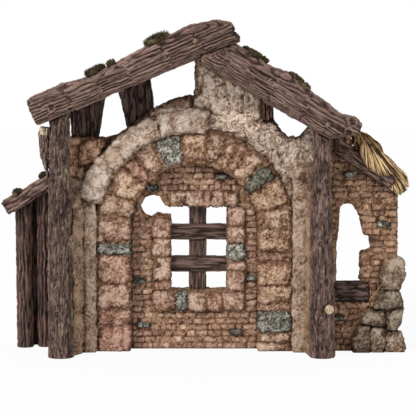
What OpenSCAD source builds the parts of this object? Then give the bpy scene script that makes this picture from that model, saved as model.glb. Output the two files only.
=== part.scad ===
// Nativity stable: a ruined stone arch under a pitched log roof, with a lean-to at each side.
// X runs to the right, Y to the back and Z up. X = 0 is the arch's centre line, Z = 0 the floor,
// and Y = 0 the middle of the wall slab.

/* [Wall] */
// From the arch's centre to the wall's left end
wall_left = 206; // [200:1:212]
// From the arch's centre to the wall's right end
wall_right = 205; // [200:1:210]
// Thickness of the wall slab
wall_t = 28; // [22:1:36]
// Height of the wall's left shoulder, which carries the stud
left_shoulder_h = 341; // [330:1:350]
// Left and right edges of the gable, and the place where the right slope's seat begins
gable_left = 0.8; // [0:0.1:4]
gable_right = 125; // [118:1:130]
right_seat = 183; // [176:1:188]
// Height of the notch between the gable and the right seat, over the right slope's lower corner
notch_over_h = 12.5; // [8:0.5:18]
// How far the render stands out from the slab
render_proud = 18; // [12:1:24]
// Width and gap of the broken boards at the gable's right edge, and how far they stand out
gable_board_w = 5.4; // [4:0.1:7]
gable_board_gap = 1; // [0.5:0.1:2]
gable_board_proud = 22; // [16:1:28]
// Lowest end of those boards
gable_board_foot = 368; // [362:1:374]
// Height of the courses on the wall's back, and length of their stones
back_course_h = 42; // [36:1:50]
back_stone_len = 60; // [50:1:72]
// Width and depth of the joints between them
back_joint_w = 4; // [3:0.5:6]
back_joint_depth = 3; // [2:0.5:4]

/* [Arch] */
// Radius of the brick recess under the arch
recess_r = 102; // [96:1:106]
// Height of the arch's spring line
spring_h = 198; // [185:1:210]
// Width of the ring of arch stones, and how far it stands out
ring_w = 52; // [46:1:54]
ring_proud = 30; // [24:1:34]
// Width of the outer band, its gap to the ring, and how far it stands out
band_w = 31; // [26:1:34]
band_gap = 3; // [2:0.5:5]
band_proud = 42; // [36:1:46]
// Height and depth of the ledge on top of the band
ledge_h = 22; // [16:1:26]
ledge_proud = 38; // [30:1:40]
// Mortar joint between two stones
stone_joint = 2.4; // [1.5:0.1:4]
// Width and height of the field of stones on the left shoulder
shoulder_w = 66; // [60:1:68]
shoulder_h = 91; // [80:1:94]

/* [Side piers] */
// Height of the left and the right pier
left_pilaster_h = 240; // [225:1:242]
right_pilaster_h = 270; // [255:1:285]
// How far the piers' inner part stands out
pilaster_step = 36; // [31:1:42]
// Foot of the thin render between ring and right pier
crescent_foot = 226; // [216:1:240]

/* [Bricks] */
// Height, mean length and joint of the small bricks
brick_h = 8.4; // [7:0.1:11]
brick_len = 17; // [13:1:24]
brick_joint = 1.4; // [1:0.1:2.5]
// How far the bricks stand out
brick_proud = 6; // [4:0.5:9]
// Size of the grey bricks, and how far they stand out
slate_len = 22; // [18:1:26]
slate_h = 12; // [10:0.5:15]
slate_proud = 9; // [7:0.5:12]

/* [Window] */
// Left and right edges of the window, from the arch's centre
window_left = 38; // [32:1:42]
window_right = 52; // [46:1:56]
// Height of the sill and of the head
window_sill_h = 96; // [86:1:106]
window_head_h = 231; // [222:1:238]
// Width of the jamb stones, and height of the head and sill stones
window_jamb_w = 29; // [22:1:31]
window_head_stone_h = 24; // [18:1:28]
window_sill_stone_h = 33; // [24:1:38]
// How far the window's stones stand out
window_stone_proud = 12; // [9:1:18]
// Width and height of the broken hole beside the window's head, and how far it lies below the head
hole_w = 49; // [40:1:52]
hole_h = 36; // [28:1:40]
hole_drop = 18; // [14:1:24]

/* [Lattice] */
// Place, width and depth of the upright
upright_x = 5; // [0:1:10]
upright_w = 27; // [20:1:30]
upright_t = 20; // [16:1:21]
// Height and depth of the two bars
bar_h = 25; // [18:1:28]
bar_t = 14; // [12:1:16]
// Height of each bar's middle above the sill
upper_bar_rise = 93; // [85:1:100]
lower_bar_rise = 41.5; // [34:0.5:48]
// How far the upright lies behind the bars' front, and how deep each end is housed in the slab
upright_set = 4; // [2:0.5:5]
lattice_seat = 5; // [3:0.5:7]

/* [Posts] */
// From the arch's centre to each post's middle, and each post's radius
left_post_x = 209; // [205:1:212]
left_post_r = 20.5; // [18:0.5:22]
right_post_x = 201; // [198:1:205]
right_post_r = 20; // [18:0.5:22]
// From the wall's front face to the posts' middle
post_stand_off = 70; // [64:1:76]
// Depth of the bark's grooves
bark_groove = 1.6; // [0.8:0.1:2.4]
// Width and depth of the cut branch at the left post, and the heights of its foot and top
branch_w = 17; // [12:1:20]
branch_t = 18; // [12:1:24]
branch_foot = 284; // [276:1:292]
branch_top = 361; // [354:1:364]
// Radius, height, side shift and reach of the cut stub at the right post
stub_r = 7.5; // [5:0.5:9]
stub_z = 79; // [60:1:100]
stub_shift = 9; // [5:0.5:11]
stub_reach = 6; // [3:0.5:9]
// Radius of the pins between posts and roof, and how deep they go each way
post_pin_r = 4; // [3:0.5:5]
post_pin_depth = 14; // [10:1:18]

/* [Roof] */
// Left slope: pitch, lower corner, length and height of its logs
left_pitch = 22.5; // [21:0.5:24]
left_eave_x = 241; // [236:1:246]
left_eave_h = 365; // [362:1:368]
left_log_len = 342; // [332:1:350]
left_log_h = 52; // [46:1:56]
// Right slope: pitch, lower corner, length and height of its logs
right_pitch = 30.5; // [29:0.5:31.5]
right_eave_x = 236; // [233:1:240]
right_eave_h = 327.5; // [325:0.5:329]
right_log_len = 275; // [272:1:290]
right_log_h = 56; // [50:1:58]
// Depth of one roof log, and from one row to the next
roof_log_t = 48; // [44:1:49]
roof_row_step = 50; // [50:1:54]
// How far the roof stands out in front of the wall
roof_overhang = 105; // [100:1:112]
// Depth of the grooves in the roof logs' bark, and width of the cracks across it
log_groove = 3; // [1.6:0.2:4]
log_crack_w = 2.5; // [1.5:0.5:4]
// Radius of the pegs through the roof logs, and how far their ends show
dowel_r = 3.6; // [2.5:0.1:5]
dowel_show = 1.5; // [0.5:0.1:3]
// Depth of the stud and the brace under the left slope
strut_t = 24; // [18:1:26]

/* [Right lean-to] */
// Right end and thickness of the lean-to's wall, and how far it stands in front of the main wall
wing_right = 323; // [318:1:328]
wing_t = 28; // [24:1:34]
wing_set = 20; // [16:1:24]
// Top of its wall behind the post, over the right slope's lower corner
wing_head_over_h = 15.5; // [12:0.5:15.5]
// Place and size of its opening
opening_left = 226; // [224:1:230]
opening_sill_h = 111; // [105:1:117]
opening_w = 56; // [50:1:60]
opening_h = 126; // [116:1:130]
// Height, length and reach of the sill log in front of the wall
sill_log_h = 32; // [26:1:36]
sill_log_len = 56; // [50:1:58]
sill_log_proud = 8; // [5:1:12]
// Pitch of its roof, and a point on the underside, below the right slope's lower corner
wing_pitch = 34.5; // [33:0.5:35.5]
wing_point_x = 213.5; // [212:0.5:215]
wing_point_under_h = 1.5; // [1:0.5:4.5]
// Upper end, length, thickness and overhang of its roof
wing_roof_start = 224; // [223:1:228]
wing_roof_len = 115; // [110:1:118]
wing_roof_t = 21; // [17:1:21.5]
wing_overhang = 45; // [40:1:50]
// Depth of its front beam and of each board behind it
wing_beam_t = 20; // [15:1:24]
wing_board_t = 19; // [14:1:19]
// Thickness of the straw on the roof, and of the fan that hangs in front
thatch_h = 30; // [24:1:32]
thatch_fan_t = 17; // [12:1:20]
// Width, height and reach of the rubble at its corner
rubble_w = 82; // [76:1:84]
rubble_h = 147; // [138:1:150]
rubble_left = 254; // [250:1:258]
rubble_proud = 25; // [20:1:30]

/* [Left lean-to] */
// Pitch of its roof, and the lower corner of its logs
left_wing_pitch = 31; // [28:0.5:33]
left_wing_eave_x = 297; // [290:1:302]
left_wing_eave_h = 217; // [210:1:224]
// Height and depth of its roof logs, and how far the front one stands out
left_wing_log_h = 23; // [18:1:26]
left_wing_log_t = 22; // [18:1:24]
left_wing_overhang = 12; // [8:1:16]
// Place and radius of the outer and inner wall logs
outer_log_x = 273; // [268:1:278]
outer_log_r = 11.5; // [9:0.5:13]
inner_log_x = 243; // [238:1:247]
inner_log_r = 9; // [7:0.5:10]
// Thickness of the board behind them, and its left end
wing_back_t = 8; // [5:1:10]
wing_back_left = 288; // [284:1:292]

/* [Moss] */
// Radius of the moss tufts
moss_r = 10; // [7:0.5:12]

/* [Hidden] */

$fn = 48;
// Clearance wherever two pieces meet, and how far a cutter passes what it cuts
fit_gap = 0.3;
cut_over = 5;
// Radial clearance of pegs and pins in their holes
peg_gap = 0.15;
// Pieces shorter than this are left out of a brick course
min_brick = 4;
// Corner chips of the stones, as a share of the shorter side
chip_share = 0.14;
// How far the upright joints of the bricks stray, as a share of a brick
brick_share = 0.32;

front_y = -wall_t / 2;
back_y = wall_t / 2;
window_w = window_left + window_right;
window_h = window_head_h - window_sill_h;
ring_r = recess_r + ring_w;
band_in_r = ring_r + band_gap;
band_out_r = band_in_r + band_w;
post_y = front_y - post_stand_off;
roof_front_y = front_y - roof_overhang;
wing_front_y = front_y - wing_set;
wing_back_y = wing_front_y + wing_t;
wing_left = wall_right + fit_gap;
wing_roof_front_y = front_y - wing_overhang;
notch_h = right_eave_h + notch_over_h;
wing_head_h = right_eave_h + wing_head_over_h;
wing_point_h = right_eave_h - wing_point_under_h;

// Undersides of the two slopes and of the lean-tos, as heights over X
function left_under(x) = left_eave_h + (x + left_eave_x) * tan(left_pitch);
function right_under(x) = right_eave_h + (right_eave_x - x) * tan(right_pitch);
function wing_under(x) = wing_point_h - (x - wing_point_x) * tan(wing_pitch);
function wing_over(x) = wing_under(x) + wing_roof_t / cos(wing_pitch);
function left_wing_under(x) = left_wing_eave_h + (x + left_wing_eave_x) * tan(left_wing_pitch);
ridge_x = (right_eave_h + right_eave_x * tan(right_pitch) - left_eave_h - left_eave_x * tan(left_pitch))
    / (tan(left_pitch) + tan(right_pitch));
// Highest place for masonry below the roof, and the ridge's point where it lies right of x
function roof_under(x) = min(left_under(x), right_under(x)) - fit_gap;
function ridge_after(x) = ridge_x > x ? [[ridge_x, roof_under(ridge_x)]] : [];

// Stones of the ring as [start, end, inner, outer]: shares of the half circle from the left spring,
// and of the ring's width
voussoir_shares = [[0.045, 0.125, 0, 1], [0.13, 0.225, 0.04, 0.96], [0.23, 0.28, 0.02, 0.88],
    [0.285, 0.355, 0.06, 1], [0.36, 0.45, 0.1, 0.94], [0.457, 0.547, 0.2, 0.95], [0.553, 0.61, 0.12, 1],
    [0.614, 0.652, 0.1, 0.94], [0.656, 0.69, 0.12, 0.95], [0.695, 0.76, 0.08, 1], [0.765, 0.825, 0.02,
        0.97],
    [0.83, 0.922, 0, 1.02], [0.928, 1, 0.1, 0.98]];
slate_voussoirs = [4, 10];
// Stones of the jambs and the window's jambs as [foot, top, slate], and of the head and sill as
// [left, right, slate]: shares of the spring height, the window's height and its width
left_jamb_shares = [[0, 0.215, 0], [0.215, 0.345, 0], [0.345, 0.55, 0], [0.55, 0.785, 0], [0.785, 0.885, 1],
    [0.885, 1.075, 0]];
right_jamb_shares = [[0, 0.068, 0], [0.068, 0.152, 0], [0.152, 0.33, 1], [0.33, 0.392, 0], [0.392, 0.535,
    0],
    [0.535, 0.725, 0], [0.725, 0.805, 0], [0.805, 1, 0]];
window_left_shares = [[0, 0.115, 0], [0.115, 0.4, 0], [0.4, 0.625, 0], [0.625, 0.86, 0]];
window_right_shares = [[0, 0.235, 0], [0.235, 0.355, 0], [0.355, 0.56, 1], [0.56, 0.76, 0], [0.76, 1, 0]];
window_head_shares = [[0, 0.25, 0], [0.26, 0.595, 0], [0.6, 0.705, 0], [0.71, 0.935, 0], [0.94, 1.17, 0]];
window_sill_shares = [[-0.32, 0.08, 0], [0.085, 0.295, 1], [0.3, 0.63, 0], [0.635, 0.915, 0], [0.92, 1.31,
    0]];
// Stones of the outer band, as shares of the half circle
band_shares = [[0.09, 0.205], [0.258, 0.39], [0.395, 0.54]];
// The hump of the wall's head runs between these shares of the half circle
hump_start_share = 0.29;
hump_end_share = 0.49;
// The ledge starts here
ledge_start_share = 0.385;
// How much higher than the lowest each board at the gable's edge ends, in board widths
board_foot_shares = [0.5, 0, 0.9];
// Outline of the notch beside the gable, as shares of its width and depth
notch_shares = [[0.01, 0.6], [0.17, 0.25], [0.4, 0], [0.7, 0], [0.91, 0.2]];
// Outline of the broken hole, as shares of its width and height
hole_shares = [[0, 0.5], [0.16, 0.86], [0.33, 0.97], [0.49, 1], [0.65, 0.92], [0.82, 0.53], [1, 0.42], [1,
    0.08],
    [0.55, 0.14], [0.33, 0], [0.12, 0.14]];
// Middles of the grey bricks in the recess, as shares of the recess's radius and the spring height
slate_place_shares = [[-0.65, 1.315], [0.42, 1.41], [-0.86, 0.56], [-0.8, 0.2], [0.66, 0.14], [0.9, 0.585]];
// Middles of the grey bricks in the lean-to's wall, as shares of its width and of the opening's sill
wing_slate_shares = [[0.35, 2.56], [0.8, 1.85], [0.2, 0.48]];
// Stones of the left shoulder as [left, right, foot, top], and its big stone's outline, in shares of the
// shoulder's field; and the slate beside it, in shares of the band's outer radius and the spring height
shoulder_block_shares = [[0.02, 0.36, 0.87, 0.99], [0.02, 0.33, 0.7, 0.85], [0.02, 0.36, 0.53, 0.68],
    [0.02, 0.29, 0.32, 0.51], [0.31, 0.48, 0.27, 0.49], [0.02, 0.33, 0.05, 0.28]];
shoulder_big_shares = [[0.38, 0.55], [0.61, 0.52], [0.74, 0.6], [0.86, 0.7], [0.88, 0.82], [0.99, 0.85],
    [0.99, 0.93], [0.85, 1], [0.62, 0.99], [0.42, 0.86]];
band_slate_shares = [-0.761, -0.651, 1.575, 1.628];
// Edges of the posts as [height, left, right]: shares of the height and of the radius
left_post_shares = [[0, -1, 0.97], [0.3, -0.97, 0.9], [0.42, -0.96, 1], [0.52, -0.92, 0.88], [0.75, -0.86,
    0.84],
    [0.93, -0.76, 0.8]];
right_post_shares = [[0, -1, 1], [0.35, -1, 0.9], [0.64, -1, 0.74], [0.72, -0.98, 0.68], [0.81, -1, 0.6],
    [0.85, -0.8, 0.56], [0.95, -0.78, 0.56]];
// Outline of the branch: shares of its width from the trunk's side, and of its height
branch_shares = [[0.5, 0], [-0.2, 0], [-0.5, 0.2], [-0.85, 0.42], [-0.95, 0.75], [-1, 0.88], [-0.85, 0.98],
    [-0.3, 1],
    [0.5, 0.97]];
// Top and foot edges of the roof logs: shares of the length, from the eave up, and of the height
left_top_shares = [[0.012, 0.83], [0.09, 0.82], [0.17, 0.85], [0.27, 0.74], [0.42, 0.8], [0.56, 0.88],
    [0.68, 0.95],
    [0.81, 1], [0.92, 0.86], [0.985, 0.6], [1, 0.37]];
left_foot_shares = [[0, 0.5], [0.008, 0], [0.985, 0]];
right_top_shares = [[0, 0.77], [0.05, 0.89], [0.12, 0.75], [0.225, 0.82], [0.36, 0.87], [0.5, 1], [0.62,
    0.9],
    [0.69, 0.945], [0.84, 0.91], [1, 0.91]];
right_foot_shares = [[0.005, 0.46], [0.045, 0.31], [0.116, 0], [1, 0]];
// Each row's length and height, and the shift of its eave end, as shares of the front row's
row_len_shares = [1, 0.97, 0.985];
row_h_shares = [1, 0.95, 0.91];
row_shift_shares = [0, 0.018, 0.006];
// Points round a roof log's bark, and its roundness: 1 is a round log, less is squarer
log_bark_points = 40;
log_roundness = 0.5;
// Cracks across each slope's bark, as shares of the logs' length
left_crack_shares = [0.18, 0.33, 0.47, 0.66, 0.82];
right_crack_shares = [0.18, 0.33, 0.54, 0.68, 0.85];
// Pegs of each slope, as shares of the logs' length and height
left_dowel_shares = [[0.325, 0.22], [0.8, 0.5]];
right_dowel_shares = [[0.17, 0.33], [0.43, 0.2], [0.57, 0.55]];
// Left and right edges of the stud and the brace, as shares of the wall's left half: foot and top
stud_shares = [[-0.952, -0.96], [-0.742, -0.694]];
brace_shares = [[-0.5, -0.587], [-0.29, -0.345]];
// Outline of the lean-to's opening, as shares of its width and height
opening_shares = [[0, 0], [0, 0.46], [0.07, 0.69], [0.09, 0.95], [0.21, 1], [0.43, 1], [0.62, 0.88], [0.71,
    0.74],
    [0.77, 0.6], [0.96, 0.58], [0.98, 0.42], [0.68, 0.365], [0.68, 0]];
// Parts of the lean-to's brick field taken by the opening, as [left, right, foot, top] shares
opening_block_shares = [[0, 0.72, 0, 1], [0.66, 1, 0.36, 0.61]];
// Left limit of the rubble over its height, and the outlines of its stones, in shares
rubble_edge_shares = [[0, 0], [0.28, 0], [0.3, 0.1], [0.45, 0.1], [0.46, 0.37], [0.67, 0.37], [0.68, 0.53],
    [1.04, 0.53]];
rubble_shares = [
    [[0, 0], [0, 0.15], [0.1, 0.26], [0.29, 0.285], [0.3, 0.16], [0.3, 0]],
    [[0.33, 0], [0.33, 0.19], [0.4, 0.26], [0.57, 0.23], [0.61, 0.15], [0.6, 0]],
    [[0.635, 0], [0.635, 0.15], [0.77, 0.215], [0.905, 0.205], [0.98, 0.095], [1, 0.03], [0.98, 0]],
    [[0.12, 0.3], [0.2, 0.38], [0.28, 0.43], [0.51, 0.445], [0.6, 0.39], [0.6, 0.31], [0.53, 0.28], [0.33,
        0.3]],
    [[0.635, 0.25], [0.65, 0.41], [0.925, 0.455], [0.905, 0.345], [0.85, 0.235]],
    [[0.39, 0.465], [0.41, 0.55], [0.52, 0.63], [0.68, 0.67], [0.83, 0.67], [0.91, 0.585], [0.945, 0.475]],
    [[0.56, 0.69], [0.54, 0.85], [0.675, 0.96], [0.79, 1.03], [0.925, 1], [0.965, 0.91], [0.945, 0.8],
        [0.865, 0.69]]];
// Outlines of the straw bundles, as shares of the lean-to roof's length and of the straw's thickness
thatch_upper_shares = [[0.3, 0], [0.8, 0], [0.66, 0.69], [0.55, 0.88], [0.41, 0.95], [0.26, 0.77], [0.22,
    0.5]];
thatch_fan_shares = [[0.35, 0], [0.575, -0.44], [0.77, -0.41], [0.84, -0.25], [0.915, 0.13], [0.87, 0.55],
    [0.66, 0.65], [0.51, 0.69], [0.3, 0.62]];
thatch_eave_shares = [[1.165, -0.55], [1.21, -0.03], [1.09, 0.44], [0.92, 0.48], [0.83, 0.54], [0.815, 0]];
// How far the eave's bundle hangs in front of the roof's end, as a share of the straw's thickness
thatch_hang_share = -0.58;
// How far the straw reaches behind the lean-to's wall, as the same share
thatch_back_share = 0.25;
// Moss tufts as [place, size]: shares of the log's length and of the tuft's radius
moss_left_shares = [[0.318, 0.8], [0.352, 0.85], [0.415, 0.55], [0.625, 0.95], [0.668, 1]];
moss_right_shares = [[0.395, 0.72], [0.44, 0.8], [0.475, 0.65], [0.672, 0.8], [0.715, 0.85], [0.752, 0.8]];
moss_wing_shares = [[0.24, 0.8], [0.62, 0.9]];
// The tufts stand in turn at these shares of a log's depth, sunk into it by this share of their radius
moss_row_shares = [0.3, 0.6];
moss_sink_share = 0.3;
// Height of a tuft, its reach along and across the log, and the size of its crown, as shares of its radius
// and of its foot
moss_height_share = 0.95;
moss_length_share = 1.6;
moss_width_share = 1.15;
moss_crown_share = 0.5;
// Sides of a tuft
moss_sides = 16;

function reversed(v) = [for (i = [len(v) - 1:-1:0]) v[i]];
function polar(r, a) = [r * cos(a), spring_h + r * sin(a)];
// Angle of a share of the half circle, from the left spring
function half_angle(share) = 180 - 180 * share;

// A closed ring of bark: every second point lies in a groove, and roundness below 1 squares it
function bark_ring(half_w, half_h, seed, roundness = 1, n = 24, groove = bark_groove) =
    let (r = rands(0.3, 1, n, seed))
    [for (i = [0:n - 1]) let (c = cos(360 * i / n), s = sin(360 * i / n),
        k = i % 2 == 0 ? 0 : groove * r[i])
        [(half_w - k) * sign(c) * pow(abs(c), roundness), (half_h - k) * sign(s) * pow(abs(s), roundness)]];

// A block's outline with its four corners chipped
function chipped_block(x0, x1, z0, z1, seed) =
    let (c = chip_share * min(x1 - x0, z1 - z0), r = rands(0.4, 1.6, 4, seed))
    [[x0 + c * r[0], z0], [x1 - c * r[1], z0], [x1, z0 + c * r[1]], [x1, z1 - c * r[2]], [x1 - c * r[2],
        z1],
        [x0 + c * r[3], z1], [x0, z1 - c * r[3]], [x0, z0 + c * r[0]]];

// A stone of a ring between two radii, from angle a0 down to a1, less half a joint at each side
function arch_stone(r0, r1, a0, a1) =
    let (d = 90 * stone_joint / (PI * (r0 + r1) / 2), c = chip_share * (r1 - r0), b0 = a0 - d, b1 = a1 + d,
        steps = 4, da = (b1 - b0) / steps)
    concat([polar(r1 - c, b0)], [for (k = [0.15, 1, 2, 3, 3.85]) polar(r1, b0 + da * k)], [polar(r1 - c,
        b1)],
        [for (k = [4:-1:0]) polar(r0, b0 + da * k)]);

// What is left of some spans of X when the stretch from a to b is taken out
function without(spans, a, b) =
    [for (s = spans) for (p = [[s[0], min(s[1], a)], [max(s[0], b), s[1]]]) if (p[1] - p[0] > min_brick) p];
// The same for every block [x0, x1, z0, z1] that the course from z0 to z1 meets
function open_spans(spans, z0, z1, blocks, i = 0) = i == len(blocks) ? spans
    : open_spans(z1 > blocks[i][2] && z0 < blocks[i][3] ? without(spans, blocks[i][0],
        blocks[i][1]) : spans,
        z0, z1, blocks, i + 1);

// Half width of the brick recess at a height
function recess_half(z) = z <= spring_h ? recess_r : sqrt(max(0, pow(recess_r, 2) - pow(z - spring_h, 2)));

// A share of a stretch between two values
function between(a, b, share) = a + (b - a) * share;

// The wall's outline, with the hump over the band, the gable, the notch and the right seat
hump_points = [for (k = [0:6]) let (share = between(hump_start_share, hump_end_share, k / 6))
    polar(band_out_r + ledge_h * k / 6, half_angle(share))];
notch_w = right_seat - gable_right;
notch_depth = right_under(gable_right) - notch_h;
notch_points = [for (p = notch_shares) [gable_right + notch_w * p[0], notch_h + notch_depth * p[1]]];
shoulder_end = -wall_left + shoulder_w;
wall_outline = concat([[-wall_left, 0], [-wall_left, left_shoulder_h], [shoulder_end, left_shoulder_h]],
    hump_points,
    [[gable_left, hump_points[6][1]], [gable_left, roof_under(gable_left)]], ridge_after(gable_left),
    [[gable_right, roof_under(gable_right)]], notch_points,
    [[right_seat, roof_under(right_seat)], [wall_right, roof_under(wall_right)], [wall_right, 0]]);
hole_foot = window_head_h - hole_drop;
hole_points = [for (p = hole_shares) [-window_left - hole_w * (1 - p[0]), hole_foot + hole_h * p[1]]];

// An outline in X and Z, given depth along Y
module slab(points, y0, y1) {
    translate([0, y1, 0]) rotate([90, 0, 0]) linear_extrude(y1 - y0) polygon(points);
}

// A stone on the wall's front face
module face_stone(points, proud) {
    slab(points, front_y - proud, front_y);
}

// The stones of the ring, either the plain ones or the grey ones
module ring_stones(slates) {
    for (i = [0:len(voussoir_shares) - 1]) if ((len(search(i, slate_voussoirs)) > 0) == slates) {
        v = voussoir_shares[i];
        r0 = recess_r + ring_w * v[2];
        r1 = recess_r + ring_w * v[3];
        face_stone(arch_stone(r0, r1, half_angle(v[0]), half_angle(v[1])),
            ring_proud - ring_w * chip_share * v[2]);
    }
}

// Blocks one on another between x0 and x1, their heights as shares of h above foot
module block_pile(shares, x0, x1, foot, h, proud, slates, seed) {
    for (i = [0:len(shares) - 1]) if ((shares[i][2] == 1) == slates) {
        s = shares[i];
        z0 = foot + h * s[0] + (s[0] == 0 ? 0 : stone_joint / 2);
        z1 = foot + h * s[1] - stone_joint / 2;
        face_stone(chipped_block(x0, x1, z0, z1, seed + i), proud);
    }
}

// Blocks side by side between z0 and z1, their places as shares of the window's width
module block_row(shares, z0, z1, slates, seed) {
    for (i = [0:len(shares) - 1]) if ((shares[i][2] == 1) == slates) {
        s = shares[i];
        x0 = -window_left + window_w * s[0];
        x1 = -window_left + window_w * s[1];
        face_stone(chipped_block(x0, x1, z0, z1, seed + i), window_stone_proud);
    }
}

module left_jamb_pile(slates) {
    block_pile(left_jamb_shares, -ring_r, -recess_r, 0, spring_h, ring_proud, slates, 11);
}

module right_jamb_pile(slates) {
    block_pile(right_jamb_shares, recess_r, ring_r, 0, spring_h, ring_proud, slates, 31);
}

// One course of bricks over the given spans, each brick a little more or less proud than the next
module brick_course(spans, z, y, seed) {
    for (j = [0:len(spans) - 1]) {
        s = spans[j];
        n = max(1, round((s[1] - s[0]) / brick_len));
        r = rands(-brick_share, brick_share, n + 1, seed + j * 7);
        edge = [for (i = [0:n]) between(s[0], s[1], (i + (i == 0 || i == n ? 0 : r[i])) / n)];
        for (i = [0:n - 1])
            translate([edge[i] + brick_joint / 2, y - brick_proud * (1 - abs(r[i])), z])
                cube([edge[i + 1] - edge[i] - brick_joint, brick_proud * (1 - abs(r[i])), brick_h]);
    }
}

// Grey bricks with their middles at the given places, and the blocks that they take from the courses
function slate_blocks(places) = [for (p = places) [p[0] - slate_len / 2, p[0] + slate_len / 2,
    p[1] - slate_h / 2,
    p[1] + slate_h / 2]];
wall_slate_blocks = slate_blocks([for (p = slate_place_shares) [recess_r * p[0], spring_h * p[1]]]);
wing_slate_blocks = slate_blocks([for (p = wing_slate_shares)
    [between(wing_left, wing_right, p[0]), opening_sill_h * p[1]]]);

module slate_set(blocks, y, seed) {
    for (i = [0:len(blocks) - 1]) {
        b = blocks[i];
        slab(chipped_block(b[0] + brick_joint, b[1] - brick_joint, b[2] + brick_joint, b[3] - brick_joint,
            seed + i),
            y - slate_proud, y);
    }
}

// The stones of every other course on the wall's back start half a stone further, and their upright
// joints stand off their even places by these shares of a stone
back_shift_shares = [0.08, -0.14, 0.11, -0.05, -0.1];

// Level and upright joints of the coursed stone on the wall's back
module back_joints() {
    span = wall_left + wall_right;
    top = left_under(ridge_x);
    y0 = back_y - back_joint_depth;
    for (k = [0:floor(top / back_course_h)]) {
        z = k * back_course_h;
        if (k > 0)
            translate([-wall_left - cut_over, y0, z - back_joint_w / 2])
                cube([span + 2 * cut_over, back_joint_depth + cut_over, back_joint_w]);
        for (i = [1:floor(span / back_stone_len)]) {
            shift = back_shift_shares[(i + 2 * k) % len(back_shift_shares)] + (k % 2) / 2;
            translate([-wall_left + back_stone_len * (i + shift) - back_joint_w / 2, y0, z])
                cube([back_joint_w, back_joint_depth + cut_over, back_course_h]);
        }
    }
}

module wall_core() {
    color("rosybrown") difference() {
        slab(wall_outline, front_y, back_y);
        back_joints();
        slab([[-window_left, window_sill_h], [window_right, window_sill_h], [window_right, window_head_h],
            [-window_left, window_head_h]], front_y - cut_over, back_y + cut_over);
        slab(hole_points, front_y - cut_over, back_y + cut_over);
        // Seats of the lattice's ends, open to the front
        translate([upright_x - upright_w / 2 - fit_gap, front_y - cut_over,
            window_sill_h - lattice_seat - fit_gap])
            cube([upright_w + 2 * fit_gap, cut_over + upright_set + upright_t + fit_gap,
                window_h + 2 * (lattice_seat + fit_gap)]);
        for (rise = [lower_bar_rise, upper_bar_rise])
            translate([-window_left - lattice_seat - fit_gap, front_y - cut_over,
                window_sill_h + rise - bar_h / 2 - fit_gap])
                cube([window_w + 2 * (lattice_seat + fit_gap), cut_over + bar_t + fit_gap,
                    bar_h + 2 * fit_gap]);
    }
}

// The courses leave room for the window's stones, the hole and the grey bricks
wall_blocks = concat(wall_slate_blocks,
    [[-window_left - window_jamb_w, window_right + window_jamb_w, window_sill_h - window_sill_stone_h,
        hole_foot],
        [-window_left - hole_w, window_right + window_jamb_w, hole_foot, hole_foot + hole_h],
        [-window_left, window_right + window_jamb_w, window_head_h, window_head_h + window_head_stone_h]]);
course_h = brick_h + brick_joint;

module wall_bricks() {
    color("sienna") for (k = [0:floor((spring_h + recess_r) / course_h) - 1]) {
        z = k * course_h + brick_joint;
        half = recess_half(z + brick_h) - brick_joint;
        spans = half > min_brick ? open_spans([[-half, half]], z, z + brick_h, wall_blocks) : [];
        if (len(spans) > 0) brick_course(spans, z, front_y, 100 + k);
    }
}

module wall_slates() {
    color("slategray") slate_set(wall_slate_blocks, front_y, 51);
}

module arch_voussoirs() {
    color("tan") ring_stones(false);
}

module arch_slates() {
    b = band_slate_shares;
    color("slategray") {
        ring_stones(true);
        face_stone(chipped_block(band_out_r * b[0], band_out_r * b[1], spring_h * b[2], spring_h * b[3],
            71),
            ring_proud);
    }
}

module left_jamb_stones() {
    color("tan") left_jamb_pile(false);
}

module right_jamb_stones() {
    color("tan") right_jamb_pile(false);
}

module jamb_slates() {
    color("slategray") {
        left_jamb_pile(true);
        right_jamb_pile(true);
    }
}

module outer_band_stones() {
    color("wheat") for (s = band_shares)
        face_stone(arch_stone(band_in_r, band_out_r - fit_gap, half_angle(s[0]), half_angle(s[1])),
            band_proud);
}

// The ledge lies on the band, in front of the hump
module band_ledge() {
    color("brown") face_stone(concat(
        [for (k = [0:4]) polar(band_out_r + fit_gap, half_angle(between(ledge_start_share, hump_end_share,
            k / 4)))],
        [for (k = [4:-1:0]) let (share = between(ledge_start_share, hump_end_share, k / 4))
            polar(band_out_r + ledge_h * (share - hump_start_share) / (hump_end_share - hump_start_share),
                half_angle(share))]), ledge_proud);
}

gable_board_count = 3;
boards_left = gable_right - gable_board_count * (gable_board_w + gable_board_gap);
// The render starts this far past the band's last stone
render_start_share = 0.548;

module gable_render() {
    edge_angle = half_angle(render_start_share);
    foot_angle = asin((crescent_foot - spring_h) / band_in_r);
    steps = 20;
    left = gable_left + stone_joint;
    color("burlywood") face_stone(concat(
        [polar(band_out_r + fit_gap, edge_angle), [left, band_out_r + spring_h + stone_joint],
            [left, roof_under(left)]],
        ridge_after(left),
        [[boards_left, roof_under(boards_left)], [boards_left, gable_board_foot - stone_joint],
            [gable_right, gable_board_foot - stone_joint]],
        [for (k = [1:len(notch_points) - 1]) notch_points[k]],
        [[right_seat, roof_under(right_seat)], [wall_right, roof_under(wall_right)],
            [wall_right, right_pilaster_h + fit_gap], [band_in_r, right_pilaster_h + fit_gap],
            [band_in_r, crescent_foot]],
        [for (k = [0:steps]) polar(band_in_r, between(foot_angle, edge_angle, k / steps))]), render_proud);
}

module gable_boards() {
    color("saddlebrown") for (i = [0:gable_board_count - 1]) {
        x0 = boards_left + gable_board_gap + i * (gable_board_w + gable_board_gap);
        x1 = x0 + gable_board_w;
        z0 = gable_board_foot + gable_board_w * board_foot_shares[i];
        face_stone([[x0, z0], [x1, z0 + gable_board_w * board_foot_shares[i] / 2], [x1,
            right_under(x1) - fit_gap],
            [x0, right_under(x0) - fit_gap]], gable_board_proud * (1 - board_foot_shares[i] * chip_share));
    }
}

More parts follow.
